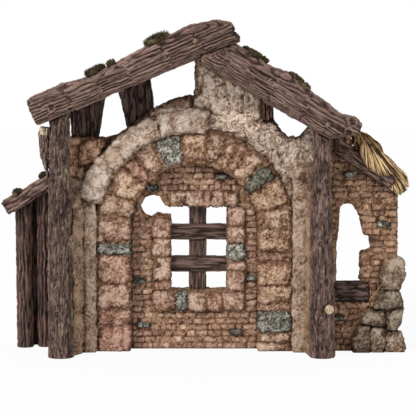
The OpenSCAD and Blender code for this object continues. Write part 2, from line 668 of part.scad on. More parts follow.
module left_shoulder_stones() {
    foot = left_shoulder_h - shoulder_h;
    color("peru") {
        for (i = [0:len(shoulder_block_shares) - 1]) {
            s = shoulder_block_shares[i];
            face_stone(chipped_block(-wall_left + shoulder_w * s[0], -wall_left + shoulder_w * s[1],
                foot + shoulder_h * s[2], foot + shoulder_h * s[3], 81 + i), window_stone_proud);
        }
        face_stone([for (p = shoulder_big_shares) [-wall_left + shoulder_w * p[0],
            foot + shoulder_h * p[1]]],
            ring_proud);
    }
}

// How far the piers reach past the posts' middle, in post radii
pier_reach_share = -0.4;
// Where the piers step, from the arch's side to the post: left, right
pier_step_shares = [0.4, 0.45];
// Where the step has reached the middle of its rise, across and outward
pier_slope_shares = [0.12, 0.4];
pilaster_reach = post_stand_off + left_post_r * pier_reach_share;

// A pier from the slab out to a post: x_in is its inner face, x_step where it steps forward, x_end the wall's end
module pilaster(x_in, x_step, x_out, x_end, post_x, post_r, h) {
    difference() {
        linear_extrude(h) polygon([[x_in, front_y], [x_in, front_y - pilaster_step],
            [x_step, front_y - pilaster_step - stone_joint], [between(x_step, x_out, pier_slope_shares[0]),
                front_y - between(pilaster_step, pilaster_reach, pier_slope_shares[1])],
            [x_out, front_y - pilaster_reach], [x_end, front_y - pilaster_reach], [x_end, front_y]]);
        translate([post_x, post_y, -cut_over]) cylinder(r = post_r + fit_gap, h = h + 2 * cut_over);
    }
}

module left_pilaster() {
    color("darkkhaki") pilaster(-band_in_r, between(-band_in_r, -left_post_x, pier_step_shares[0]),
        -left_post_x + left_post_r, -wall_left, -left_post_x, left_post_r, left_pilaster_h);
}

module right_pilaster() {
    color("darkkhaki") pilaster(band_in_r, between(band_in_r, right_post_x, pier_step_shares[1]),
        right_post_x - right_post_r, wall_right, right_post_x, right_post_r, right_pilaster_h);
}

module window_head_stones() {
    color("tan") block_row(window_head_shares, window_head_h, window_head_h + window_head_stone_h, false,
        91);
}

module window_jamb_stones() {
    color("tan") {
        block_pile(window_left_shares, -window_left - window_jamb_w, -window_left, window_sill_h, window_h,
            window_stone_proud, false, 95);
        block_pile(window_right_shares, window_right, window_right + window_jamb_w, window_sill_h, window_h,
            window_stone_proud, false, 97);
    }
}

module window_sill_stones() {
    color("tan") block_row(window_sill_shares, window_sill_h - window_sill_stone_h,
        window_sill_h - stone_joint,
        false, 61);
}

module window_slates() {
    color("slategray") {
        block_row(window_sill_shares, window_sill_h - window_sill_stone_h, window_sill_h - stone_joint,
            true, 61);
        block_pile(window_right_shares, window_right, window_right + window_jamb_w, window_sill_h, window_h,
            window_stone_proud, true, 97);
    }
}

// Upright and bars are halved where they cross: each gives half of the depth that both want
upright_y = front_y + upright_set;
halving_y = (upright_y + front_y + bar_t) / 2;

module lattice_upright() {
    color("saddlebrown") difference() {
        translate([upright_x, upright_y + upright_t / 2, window_sill_h - lattice_seat])
            linear_extrude(window_h + 2 * lattice_seat) polygon(bark_ring(upright_w / 2, upright_t / 2, 3,
                0.6));
        for (rise = [lower_bar_rise, upper_bar_rise])
            translate([upright_x - upright_w, upright_y - cut_over,
                window_sill_h + rise - bar_h / 2 - fit_gap])
                cube([2 * upright_w, cut_over + halving_y - upright_y + fit_gap / 2, bar_h + 2 * fit_gap]);
    }
}

module lattice_bar(rise, seed) {
    difference() {
        translate([-window_left - lattice_seat, front_y + bar_t / 2, window_sill_h + rise])
            rotate([90, 0, 90]) linear_extrude(window_w + 2 * lattice_seat)
                polygon(bark_ring(bar_t / 2, bar_h / 2, seed, 0.6));
        translate([upright_x - upright_w / 2 - fit_gap, halving_y - fit_gap / 2,
            window_sill_h + rise - bar_h])
            cube([upright_w + 2 * fit_gap, bar_t, 2 * bar_h]);
    }
}

module lattice_upper_bar() {
    color("saddlebrown") lattice_bar(upper_bar_rise, 5);
}

module lattice_lower_bar() {
    color("saddlebrown") lattice_bar(lower_bar_rise, 6);
}

// Tops of the posts follow the slopes' undersides
function left_post_top(x) = left_under(x) - fit_gap;
function right_post_top(x) = right_under(x) - fit_gap;

// A trunk: its edges follow the shares up to the height h, then run to the points at left and right
module trunk(shares, x, r, h, top_left, top_right, seed) {
    intersection() {
        slab(concat([for (s = shares) [x + r * s[1], h * s[0]]], [top_left, top_right],
            [for (s = reversed(shares)) [x + r * s[2], h * s[0]]]), post_y - r - cut_over,
                post_y + r + cut_over);
        translate([x, post_y, 0]) linear_extrude(left_under(0)) polygon(bark_ring(r, r, seed));
    }
}

module left_trunk() {
    last = left_post_shares[len(left_post_shares) - 1];
    x0 = -left_post_x + left_post_r * last[1];
    x1 = -left_post_x + left_post_r * last[2];
    trunk(left_post_shares, -left_post_x, left_post_r, left_post_top(x0), [x0, left_post_top(x0)],
        [x1, left_post_top(x1)], 1);
}

module right_trunk() {
    last = right_post_shares[len(right_post_shares) - 1];
    x0 = right_post_x + right_post_r * last[1];
    x1 = right_post_x + right_post_r * last[2];
    trunk(right_post_shares, right_post_x, right_post_r, right_post_top(x1), [x0, right_post_top(x0)],
        [x1, right_post_top(x1)], 2);
}

// Middles of the pins on the posts' upper ends; the right one stands off the post's axis, in post radii
right_pin_share = -0.11;
left_pin = [-left_post_x, left_under(-left_post_x)];
right_pin_x = right_post_x + right_post_r * right_pin_share;
right_pin = [right_pin_x, right_under(right_pin_x)];

module pin_set(r, depth) {
    for (p = [left_pin, right_pin])
        translate([p[0], post_y, p[1] - depth]) cylinder(r = r, h = 2 * depth);
}

module left_post() {
    color("saddlebrown") difference() {
        left_trunk();
        pin_set(post_pin_r + peg_gap, post_pin_depth + fit_gap);
    }
}

module right_post() {
    color("saddlebrown") difference() {
        right_trunk();
        pin_set(post_pin_r + peg_gap, post_pin_depth + fit_gap);
    }
}

module post_pins() {
    color("burlywood") pin_set(post_pin_r, post_pin_depth);
}

// Where the branch leaves the trunk, in post radii from its axis
branch_place_share = -0.76;

// The branch leaves the post's left side and ends in a slanting cut
module left_post_branch() {
    x = -left_post_x + left_post_r * branch_place_share;
    color("saddlebrown") difference() {
        slab([for (p = branch_shares) [x + branch_w * p[0], between(branch_foot, branch_top, p[1])]],
            post_y - branch_t / 2, post_y + branch_t / 2);
        left_trunk();
    }
}

// The stub is seated on the trunk's front
module right_post_stub() {
    color("burlywood") difference() {
        translate([right_post_x + stub_shift, post_y, stub_z]) rotate([90, 0, 0])
            cylinder(r = stub_r, h = right_post_r + stub_reach);
        right_trunk();
        translate([right_post_x, post_y, 0]) cylinder(r = right_post_r - bark_groove, h = 2 * stub_z);
    }
}

function log_outline(foot_shares, top_shares, length, height, shift) =
    [for (p = concat(foot_shares, reversed(top_shares))) [length * p[0] + shift, height * p[1]]];

// A roof log's side view as a plank, in its slope's own frame: X up the slope from the eave, Z square to it
module roof_plank(foot_shares, top_shares, log_len, log_h, row) {
    y0 = roof_front_y + row * roof_row_step;
    slab(log_outline(foot_shares, top_shares, log_len * row_len_shares[row], log_h * row_h_shares[row],
        log_len * row_shift_shares[row]), y0, y0 + roof_log_t);
}

// The same with its bark: lengths of ribbed bark round a smooth core, with a crack between each two
module roof_log(foot_shares, top_shares, crack_shares, log_len, log_h, row, seed) {
    half_t = roof_log_t / 2;
    half_h = log_h * row_h_shares[row] / 2;
    ends = concat([-log_crack_w], [for (p = crack_shares) log_len * (p + row_shift_shares[row])],
        [log_len + log_crack_w]);
    intersection() {
        roof_plank(foot_shares, top_shares, log_len, log_h, row);
        translate([0, roof_front_y + row * roof_row_step + half_t, half_h]) rotate([90, 0, 90]) {
            translate([0, 0, -cut_over]) linear_extrude(log_len + 2 * cut_over)
                polygon(bark_ring(half_t - log_groove, half_h - log_groove, seed, log_roundness,
                    log_bark_points, 0));
            for (i = [0:len(ends) - 2])
                translate([0, 0, ends[i] + log_crack_w / 2])
                    linear_extrude(ends[i + 1] - ends[i] - log_crack_w)
                        polygon(bark_ring(half_t, half_h, seed + row + 3 * i, log_roundness, log_bark_points,
                            log_groove));
        }
    }
}

// Places a slope's frame at its lower corner
module on_left_slope() {
    translate([-left_eave_x, 0, left_eave_h]) rotate([0, -left_pitch, 0]) children();
}

module on_right_slope() {
    translate([right_eave_x, 0, right_eave_h]) rotate([0, right_pitch, 0]) mirror([1, 0, 0]) children();
}

module dowel_set(shares, log_len, log_h, r, over) {
    for (p = shares)
        translate([log_len * p[0], roof_front_y - over, log_h * p[1]]) rotate([-90, 0, 0])
            cylinder(r = r, h = 2 * roof_row_step + roof_log_t + 2 * over);
}

module left_rafter(row) {
    color("sienna") difference() {
        on_left_slope() difference() {
            roof_log(left_foot_shares, left_top_shares, left_crack_shares, left_log_len, left_log_h, row, 21);
            dowel_set(left_dowel_shares, left_log_len, left_log_h, dowel_r + peg_gap, cut_over);
        }
        pin_set(post_pin_r + peg_gap, post_pin_depth + fit_gap);
    }
}

// The right logs end under the left ones
module right_rafter(row) {
    color("sienna") difference() {
        on_right_slope() difference() {
            roof_log(right_foot_shares, right_top_shares, right_crack_shares, right_log_len, right_log_h, row,
                41);
            dowel_set(right_dowel_shares, right_log_len, right_log_h, dowel_r + peg_gap, cut_over);
        }
        on_left_slope() translate([0, roof_front_y - cut_over, -fit_gap])
            cube([left_log_len + right_log_h, 3 * roof_row_step + 2 * cut_over, right_log_len]);
        pin_set(post_pin_r + peg_gap, post_pin_depth + fit_gap);
    }
}

module left_rafter_front() {
    left_rafter(0);
}

module left_rafter_middle() {
    left_rafter(1);
}

module left_rafter_rear() {
    left_rafter(2);
}

module right_rafter_front() {
    right_rafter(0);
}

module right_rafter_middle() {
    right_rafter(1);
}

module right_rafter_rear() {
    right_rafter(2);
}

module roof_dowels() {
    color("burlywood") {
        on_left_slope() dowel_set(left_dowel_shares, left_log_len, left_log_h, dowel_r, dowel_show);
        on_right_slope() dowel_set(right_dowel_shares, right_log_len, right_log_h, dowel_r, dowel_show);
    }
}

// A strut from the shoulder's height up to the left slope, its edges as shares of the wall's left half
module strut(shares) {
    left = wall_left * shares[0];
    right = wall_left * shares[1];
    slab([[left[0], left_shoulder_h], [right[0], left_shoulder_h], [right[1],
        left_under(right[1]) - fit_gap],
        [left[1], left_under(left[1]) - fit_gap]], front_y, front_y + strut_t);
}

// Stud and brace stand on the wall's head and carry the left slope
module left_stud() {
    color("#3b2a24") strut(stud_shares);
}

module left_brace() {
    color("#3b2a24") difference() {
        strut(brace_shares);
        slab(wall_outline, front_y - cut_over, back_y + cut_over);
    }
}

opening_foot = opening_sill_h - sill_log_h;
opening_points = [for (p = opening_shares) [opening_left + opening_w * p[0],
    opening_sill_h + opening_h * p[1]]];
// How much of the sill log's spare length lies left of the opening
sill_left_share = 0.25;
sill_log_left = opening_left - (sill_log_len - opening_w * opening_shares[12][0]) * sill_left_share;

module wing_wall() {
    color("rosybrown") difference() {
        slab([[wing_left, 0], [wing_right, 0], [wing_right, wing_under(wing_right) - fit_gap],
            [wing_roof_start, wing_under(wing_roof_start) - fit_gap], [wing_roof_start - stone_joint,
                wing_head_h],
            [wing_left, wing_head_h]], wing_front_y, wing_back_y);
        slab(opening_points, wing_front_y - cut_over, wing_back_y + cut_over);
        translate([sill_log_left - fit_gap, wing_front_y - cut_over, opening_foot - fit_gap])
            cube([sill_log_len + 2 * fit_gap, wing_t + 2 * cut_over, sill_log_h + 2 * fit_gap]);
    }
}

wing_blocks = concat(wing_slate_blocks,
    [for (s = opening_block_shares) [opening_left + opening_w * s[0] - brick_joint,
        opening_left + opening_w * s[1],
        opening_sill_h + opening_h * s[2] - brick_joint, opening_sill_h + opening_h * s[3]]],
    [[sill_log_left - brick_joint, sill_log_left + sill_log_len + brick_joint, opening_foot - brick_joint,
        opening_sill_h + brick_joint]]);

// Right limit of the brick field at a height: the rubble, the wall's end or the roof
function rubble_edge(z) = rubble_left + rubble_w * lookup(z / rubble_h, rubble_edge_shares);
rubble_top = rubble_h * rubble_edge_shares[len(rubble_edge_shares) - 1][0];
function wing_limit(z) = min(z < rubble_top ? rubble_edge(z) : wing_right,
    wing_point_x + (wing_point_h - z) / tan(wing_pitch)) - brick_joint;

module wing_bricks() {
    color("sienna") for (k = [0:floor(wing_under(wing_left) / course_h) - 1]) {
        z = k * course_h + brick_joint;
        limit = min(wing_limit(z), wing_limit(z + brick_h));
        spans = limit > wing_left + min_brick ? open_spans([[wing_left, limit]], z, z + brick_h,
            wing_blocks) : [];
        if (len(spans) > 0) brick_course(spans, z, wing_front_y, 200 + k);
    }
}

module wing_slates() {
    color("slategray") slate_set(wing_slate_blocks, wing_front_y, 56);
}

module corner_rubble() {
    color("darkgray") for (i = [0:len(rubble_shares) - 1])
        slab([for (p = rubble_shares[i]) [rubble_left + rubble_w * p[0], rubble_h * p[1]]],
            wing_front_y - rubble_proud * (1 - i % 3 * chip_share), wing_front_y);
}

module wing_sill_log() {
    color("#3b2a24") translate([sill_log_left, wing_front_y + (wing_t - sill_log_proud) / 2,
        opening_foot + sill_log_h / 2]) rotate([90, 0, 90]) linear_extrude(sill_log_len)
            polygon(bark_ring((wing_t + sill_log_proud) / 2, sill_log_h / 2, 8, 0.6));
}

// The lean-to roof's frame: X down the slope from its upper end, Z square to it, zero on its top
module on_wing_roof() {
    translate([wing_roof_start, 0, wing_over(wing_roof_start)]) rotate([0, wing_pitch, 0]) children();
}

// A length of the lean-to roof, cut upright at its upper end
module wing_roof_piece(y, depth, share) {
    intersection() {
        on_wing_roof() translate([-wing_roof_t, y, -wing_roof_t])
            cube([wing_roof_len * share + wing_roof_t, depth, wing_roof_t]);
        translate([wing_roof_start, y - cut_over, 0]) cube([wing_roof_len, depth + 2 * cut_over,
            wing_head_h * 2]);
    }
}

module wing_roof_beam() {
    color("#4a342c") wing_roof_piece(wing_roof_front_y, wing_beam_t, 1);
}

// Lengths of the two boards behind the beam, as shares of the roof's length
board_len_shares = [0.97, 0.99];

module wing_roof_boards() {
    y0 = wing_roof_front_y + wing_beam_t + fit_gap;
    color("#4a342c") for (i = [0:1])
        wing_roof_piece(y0 + i * (wing_board_t + fit_gap), wing_board_t, board_len_shares[i]);
}

// Underside of the right slope's raised eave, over X
eave_line = [for (i = [2:-1:0])
    let (s = right_log_len * right_foot_shares[i][0], t = right_log_h * right_foot_shares[i][1])
    [right_eave_x - s * cos(right_pitch) + t * sin(right_pitch),
        right_eave_h + s * sin(right_pitch) + t * cos(right_pitch)]];

// Two stones fill the wedge between the lean-to's roof and the right slope
module eave_stones() {
    color("tan") for (i = [0:1]) {
        w = (eave_line[2][0] - wing_roof_start) / 2;
        x0 = wing_roof_start + stone_joint / 2 + i * w;
        x1 = x0 + w - stone_joint;
        slab([[x0, wing_over(x0) + fit_gap], [x1, wing_over(x1) + fit_gap], [x1, lookup(x1,
            eave_line) - 2 * fit_gap],
            [x0, max(lookup(x0, eave_line) - 2 * fit_gap, wing_over(x0) + 2 * fit_gap)]],
            wing_roof_front_y + stone_joint, front_y - stone_joint);
    }
}

module straw(shares, y0, y1) {
    on_wing_roof() slab([for (p = shares) [wing_roof_len * p[0], thatch_h * p[1] + fit_gap]], y0, y1);
}

thatch_back_y = wing_back_y + thatch_h * thatch_back_share;

module thatch_upper() {
    color("goldenrod") straw(thatch_upper_shares, wing_roof_front_y, thatch_back_y);
}

module thatch_fan() {
    color("goldenrod") straw(thatch_fan_shares, wing_roof_front_y - fit_gap - thatch_fan_t,
        wing_roof_front_y - fit_gap);
}

module thatch_eave() {
    end_share = 1 + 2 * fit_gap / wing_roof_len;
    color("goldenrod") straw(concat([[end_share, 0], [end_share, thatch_hang_share]], thatch_eave_shares),
        wing_roof_front_y, thatch_back_y);
}

module wing_log(x, r, y, seed) {
    intersection() {
        translate([x, y, 0]) linear_extrude(left_wing_under(0)) polygon(bark_ring(r, r, seed));
        slab([[x - 2 * r, 0], [x + 2 * r, 0], [x + 2 * r, left_wing_under(x + 2 * r) - fit_gap],
            [x - 2 * r, left_wing_under(x - 2 * r) - fit_gap]], y - 2 * r, y + 2 * r);
    }
}

left_wing_back_y = front_y + left_wing_overhang / 2 + 2 * outer_log_r + fit_gap;

module left_wing_board() {
    x1 = -wall_left - fit_gap;
    color("#3b2a24") slab([[-wing_back_left, 0], [x1, 0], [x1, left_wing_under(x1) - fit_gap],
        [-wing_back_left, left_wing_under(-wing_back_left) - fit_gap]], left_wing_back_y,
        left_wing_back_y + wing_back_t);
}

module left_outer_log() {
    color("saddlebrown") wing_log(-outer_log_x, outer_log_r, left_wing_back_y - fit_gap - outer_log_r, 12);
}

module left_inner_log() {
    color("saddlebrown") wing_log(-inner_log_x, inner_log_r, left_wing_back_y - fit_gap - inner_log_r, 13);
}

// A roof log of the left lean-to, cut upright where it meets the wall's end
left_wing_len = (left_wing_eave_x - wall_left) / cos(left_wing_pitch) + left_wing_log_h;

module left_wing_beam(row) {
    y0 = front_y - left_wing_overhang + row * (left_wing_log_t + fit_gap);
    intersection() {
        translate([-left_wing_eave_x, y0 + left_wing_log_t / 2, left_wing_eave_h]) rotate([0,
            -left_wing_pitch, 0])
            translate([0, 0, left_wing_log_h / 2]) rotate([90, 0, 90]) linear_extrude(left_wing_len)
                polygon(bark_ring(left_wing_log_t / 2, left_wing_log_h / 2, 14 + row, 0.6));
        translate([-left_wing_eave_x - left_wing_log_h, y0 - cut_over, left_wing_eave_h / 2])
            cube([left_wing_eave_x + left_wing_log_h - wall_left - fit_gap, left_wing_log_t + 2 * cut_over,
                left_wing_eave_h]);
    }
}

module left_wing_beam_front() {
    color("sienna") left_wing_beam(0);
}

module left_wing_beam_rear() {
    color("sienna") left_wing_beam(1);
}

module tuft(r, length_share = 1, width_share = 1) {
    scale([length_share, width_share, 1])
        cylinder(r1 = r, r2 = r * moss_crown_share, h = r * moss_height_share, $fn = moss_sides);
}

// Tufts sit on the crown of the front log, cut to its outline
module moss_row(places, top_shares, log_len, log_h) {
    for (i = [0:len(places) - 1]) {
        r = moss_r * places[i][1];
        translate([log_len * places[i][0], roof_front_y + roof_log_t * moss_row_shares[i % 2],
            log_h * lookup(places[i][0], top_shares) - r * moss_sink_share])
            tuft(r, moss_length_share, moss_width_share);
    }
}

module moss_left() {
    color("darkolivegreen") on_left_slope() difference() {
        moss_row(moss_left_shares, left_top_shares, left_log_len, left_log_h);
        roof_plank(left_foot_shares, left_top_shares, left_log_len, left_log_h, 0);
    }
}

module moss_right() {
    color("darkolivegreen") on_right_slope() difference() {
        moss_row(moss_right_shares, right_top_shares, right_log_len, right_log_h);
        roof_plank(right_foot_shares, right_top_shares, right_log_len, right_log_h, 0);
    }
}

module moss_wing() {
    color("darkolivegreen") difference() {
        translate([-left_wing_eave_x, 0, left_wing_eave_h]) rotate([0, -left_wing_pitch, 0])
            for (i = [0:len(moss_wing_shares) - 1]) {
                r = moss_r * moss_wing_shares[i][1];
                translate([left_wing_len * moss_wing_shares[i][0], front_y - left_wing_overhang
                    + left_wing_log_t * moss_row_shares[i % 2],
                        left_wing_log_h - r * moss_sink_share]) tuft(r);
            }
        for (row = [0:1]) left_wing_beam(row);
    }
}

wall_core();
wall_bricks();
wall_slates();
arch_voussoirs();
arch_slates();
left_jamb_stones();
right_jamb_stones();
jamb_slates();
outer_band_stones();
band_ledge();
gable_render();
gable_boards();
left_shoulder_stones();
left_pilaster();
right_pilaster();
window_head_stones();
window_jamb_stones();
window_sill_stones();
window_slates();
lattice_upright();
lattice_upper_bar();
lattice_lower_bar();
left_post();
left_post_branch();
right_post();
right_post_stub();
post_pins();
left_rafter_front();
left_rafter_middle();
left_rafter_rear();
right_rafter_front();
right_rafter_middle();
right_rafter_rear();
roof_dowels();
left_stud();
left_brace();
wing_wall();
wing_bricks();
wing_slates();
corner_rubble();
wing_sill_log();
wing_roof_beam();
wing_roof_boards();
eave_stones();
thatch_upper();
thatch_fan();
thatch_eave();
left_wing_board();
left_outer_log();
left_inner_log();
left_wing_beam_front();
left_wing_beam_rear();
moss_left();
moss_right();
moss_wing();
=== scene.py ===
"""Looks of a ruined stable of brick, stone, logs and straw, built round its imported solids.

Every piece takes its outline, place and thickness from the solid that it stands for. Shapes are worked out
in millimetres and turned into metres when their mesh is made.
"""

import math

import bpy
import numpy as np
from bpy.props import FloatProperty, FloatVectorProperty, IntProperty, PointerProperty
from bpy.types import Operator, Panel, PropertyGroup
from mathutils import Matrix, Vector


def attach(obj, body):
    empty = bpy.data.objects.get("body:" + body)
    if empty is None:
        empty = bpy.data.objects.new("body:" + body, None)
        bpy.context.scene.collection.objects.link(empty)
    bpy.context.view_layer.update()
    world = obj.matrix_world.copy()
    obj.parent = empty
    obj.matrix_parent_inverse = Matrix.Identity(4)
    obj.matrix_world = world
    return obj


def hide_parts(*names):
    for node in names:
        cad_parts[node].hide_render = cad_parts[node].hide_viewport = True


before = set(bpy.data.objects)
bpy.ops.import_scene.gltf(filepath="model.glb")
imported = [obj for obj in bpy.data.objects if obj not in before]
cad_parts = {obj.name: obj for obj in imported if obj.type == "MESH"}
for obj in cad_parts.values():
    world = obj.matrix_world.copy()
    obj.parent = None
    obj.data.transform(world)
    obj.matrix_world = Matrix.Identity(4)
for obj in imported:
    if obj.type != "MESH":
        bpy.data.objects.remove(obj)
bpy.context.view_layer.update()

bl_info = {
    "name": "Ruined stable",
    "version": (1, 0, 0),
    "blender": (4, 5, 0),
    "location": "3D View > Sidebar > Stable",
    "description": "Builds the stone, brick, bark, straw and moss of a small ruined stable",
    "category": "Add Mesh",
}

METRE = 0.001
LOW_BITS = 0xFFFFFFFF

# Directions, places and pitches of the solids, in millimetres and degrees; the camera's target is in metres

UPWARDS, FORWARDS, RIGHTWARDS = (0, 0, 1), (0, -1, 0), (1, 0, 0)
SPRING_HEIGHT = 198
RING_OUTER, RING_INNER, RECESS_RADIUS = 157.5, 101.5, 103
BAND_OUTER, BAND_INNER = 187, 153
WALL_FRONT = -14
LEFT_PITCH, RIGHT_PITCH = 22.5, -30.5
LEAN_TO_PITCH, THATCH_PITCH = 31, -34.5
LOOK_AT = (0.0216, -0.014, 0.2277)


# Paints and sizes

def rgb(*paint):
    """Turns a paint mixed on screen, 0 to 255, into the linear colour that the materials mix with."""
    share = np.array(paint) / 255
    linear = np.where(share <= 0.04045, share / 12.92, ((share + 0.055) / 1.055) ** 2.4)
    return tuple(float(part) for part in linear)


def colour(name, description, *paint):
    """A colour property with a paint from 0 to 255 as its default."""
    return FloatVectorProperty(
        name=name, description=description, default=rgb(*paint), size=3, min=0, max=1, subtype="COLOR"
    )


def length(name, description, default):
    """A length property in metres."""
    return FloatProperty(
        name=name, description=description, default=default, min=0, soft_max=0.1, unit="LENGTH",
        subtype="DISTANCE", precision=4
    )


class MasonryPaints(PropertyGroup):
    """Paints of the masonry: in hollows, on the faces and on raised edges."""

    backing_hollow: colour("Backing hollows", "Mortar between the rubble of the backing", 92, 64, 46)
    backing_body: colour("Backing faces", "Rubble of the backing", 146, 112, 87)
    backing_ridge: colour("Backing edges", "Worn edges of the backing", 174, 143, 119)
    brick_hollow: colour("Brick hollows", "Pits and joints of the bricks", 92, 62, 45)
    brick_body: colour("Brick faces", "Faces of the bricks", 154, 120, 97)
    brick_ridge: colour("Brick edges", "Worn edges of the bricks", 202, 172, 150)
    slate_hollow: colour("Slate hollows", "Cracks between the layers of slate", 46, 42, 35)
    slate_body: colour("Slate faces", "Faces of the slate", 102, 99, 90)
    slate_ridge: colour("Slate edges", "Worn edges of the slate", 188, 185, 176)
    arch_hollow: colour("Arch hollows", "Creases of the hewn stones", 94, 64, 46)
    arch_body: colour("Arch faces", "Faces of the hewn stones", 154, 122, 100)
    arch_ridge: colour("Arch edges", "Worn edges of the hewn stones", 212, 185, 165)
    pale_hollow: colour("Band hollows", "Creases of the pale outer band", 134, 106, 86)
    pale_body: colour("Band faces", "Faces of the pale outer band", 176, 151, 132)
    pale_ridge: colour("Band edges", "Worn edges of the pale outer band", 220, 203, 188)
    ledge_hollow: colour("Ledge hollows", "Cracks of the red ledge", 72, 49, 41)
    ledge_body: colour("Ledge faces", "Faces of the red ledge", 124, 95, 80)
    ledge_ridge: colour("Ledge edges", "Worn edges of the red ledge", 168, 138, 121)
    render_hollow: colour("Render hollows", "Breaks in the lime render", 104, 79, 62)
    render_body: colour("Render faces", "Faces of the lime render", 168, 144, 126)
    render_ridge: colour("Render edges", "Worn edges of the lime render", 226, 208, 193)
    shoulder_hollow: colour("Shoulder hollows", "Creases of the shoulder stones", 106, 72, 53)
    shoulder_body: colour("Shoulder faces", "Faces of the shoulder stones", 168, 127, 99)
    shoulder_ridge: colour("Shoulder edges", "Worn edges of the shoulder stones", 206, 173, 147)
    pier_hollow: colour("Pier hollows", "Pits of the rendered piers", 92, 68, 52)
    pier_body: colour("Pier faces", "Faces of the rendered piers", 155, 130, 110)
    pier_ridge: colour("Pier edges", "Worn edges of the rendered piers", 194, 171, 151)
    rubble_hollow: colour("Rubble hollows", "Creases of the corner rubble", 74, 57, 46)
    rubble_body: colour("Rubble faces", "Faces of the corner rubble", 118, 97, 80)
    rubble_ridge: colour("Rubble edges", "Worn edges of the corner rubble", 180, 163, 147)


class TimberPaints(PropertyGroup):
    """Paints of timber, straw and moss: in hollows, on the faces and on raised edges."""

    roof_hollow: colour("Roof bark hollows", "Cracks in the bark of the roof logs", 42, 28, 24)
    roof_body: colour("Roof bark faces", "Bark of the roof logs", 94, 70, 62)
    roof_ridge: colour("Roof bark edges", "Raised strips of the roof logs", 152, 124, 113)
    post_hollow: colour("Post bark hollows", "Cracks in the bark of the posts", 46, 33, 27)
    post_body: colour("Post bark faces", "Bark of the posts", 88, 68, 60)
    post_ridge: colour("Post bark edges", "Raised plates of the posts", 134, 110, 99)
    dark_hollow: colour("Dark wood hollows", "Cracks in the old boards", 26, 18, 16)
    dark_body: colour("Dark wood faces", "Faces of the old boards", 70, 53, 48)
    dark_ridge: colour("Dark wood edges", "Worn edges of the old boards", 116, 93, 85)
    lattice_hollow: colour("Lattice hollows", "Cracks in the lattice twigs", 42, 29, 24)
    lattice_body: colour("Lattice faces", "Bark of the lattice twigs", 80, 60, 53)
    lattice_ridge: colour("Lattice edges", "Worn edges of the lattice twigs", 118, 94, 86)
    cut_hollow: colour("Cut wood hollows", "Rings of the cut faces", 120, 92, 66)
    cut_body: colour("Cut wood faces", "Cut faces of pegs and branches", 196, 170, 138)
    cut_ridge: colour("Cut wood edges", "Raised grain of the cut faces", 226, 206, 178)
    peg_hollow: colour("Peg hollows", "Rings of the peg heads", 84, 60, 48)
    peg_body: colour("Peg faces", "Heads of the pegs", 156, 127, 104)
    peg_ridge: colour("Peg edges", "Raised grain of the peg heads", 196, 169, 142)
    straw_hollow: colour("Straw shade", "Straw deep in the thatch", 46, 30, 18)
    straw_body: colour("Straw", "Straw of the thatch", 164, 124, 78)
    straw_ridge: colour("Straw light", "Straw on the outside of the thatch", 234, 206, 158)
    moss_hollow: colour("Moss shade", "Moss between its tufts", 38, 28, 19)
    moss_body: colour("Moss", "Body of the moss", 92, 79, 50)
    moss_ridge: colour("Moss light", "Tips of the moss", 150, 133, 88)


class SurfaceSizes(PropertyGroup):
    """Sizes of the surfaces: how fine their meshes are, and how deep their relief goes."""

    stone_grid: length("Stone grid", "Spacing of the points over hewn stone", 0.0016)
    brick_grid: length("Brick grid", "Spacing of the points over bricks", 0.0022)
    wall_grid: length("Wall grid", "Spacing of the points over the wall slabs", 0.0029)
    bark_grid: length("Bark grid", "Spacing of the points over bark", 0.0017)
    stone_relief: length("Stone relief", "Deepest crease in hewn stone", 0.0048)
    brick_relief: length("Brick relief", "Deepest pit in a brick", 0.0022)
    render_relief: length("Render relief", "Deepest break in lime render", 0.0050)
    wall_relief: length("Wall relief", "Deepest joint on the back of the wall", 0.0045)
    roof_bark_relief: length("Roof bark relief", "Deepest crack in the bark of the roof", 0.0065)
    post_bark_relief: length("Post bark relief", "Deepest crack in the bark of the posts", 0.0045)
    straw_radius: length("Straw radius", "Half the thickness of a straw at its root", 0.0012)
    straw_count: IntProperty(name="Straws", description="Straws in one bundle of the thatch",
                             default=420, min=20)
    moss_spikes: IntProperty(name="Moss spikes", description="Spikes on one tuft of moss", default=520, min=5)


class StageSettings(PropertyGroup):
    """Camera and light."""

    lens: FloatProperty(name="Lens", description="Focal length on a 36 mm sensor", default=146,
                        min=20, max=400)
    distance: FloatProperty(
        name="Distance", description="Camera to the middle of the wall", default=2.7, min=0.5, unit="LENGTH"
    )
    elevation: FloatProperty(
        name="Elevation", description="Height of the camera as an angle", default=math.radians(6),
        subtype="ANGLE"
    )
    key_power: FloatProperty(name="Key light", description="Strength of the key light", default=1.9, min=0)
    fill_power: FloatProperty(name="Fill light", description="Strength of the fill light", default=0.5, min=0)
    sky_power: FloatProperty(name="Sky light", description="Strength of the light all round",
                             default=0.62, min=0)
    floor_paint: colour("Floor", "Paint of the floor", 240, 240, 240)


# Noise

def hashed(i, j, k, seed):
    """Mixes three whole numbers and a seed into 32 bits that show no order."""
    bits = i * np.uint32(0x8DA6B343) ^ j * np.uint32(0xD8163841) ^ k * np.uint32(0xCB1AB31F)
    bits = bits ^ np.uint32((seed * 0x9E3779B9 + 0x7F4A7C15) & LOW_BITS)
    bits ^= bits >> np.uint32(16)
    bits *= np.uint32(0x7FEB352D)
    bits ^= bits >> np.uint32(15)
    bits *= np.uint32(0x846CA68B)
    bits ^= bits >> np.uint32(16)
    return bits


def thirds(bits):
    """Three numbers from 0 to 1 out of each 32 bits."""
    return [((bits >> np.uint32(shift)) & np.uint32(1023)).astype(np.float32) / 1023 for shift in (0, 10, 20)]


def lattice(places):
    """Whole cell and place inside the cell of each point."""
    whole = np.floor(places)
    return whole.astype(np.int64).astype(np.uint32), (places - whole).astype(np.float32)


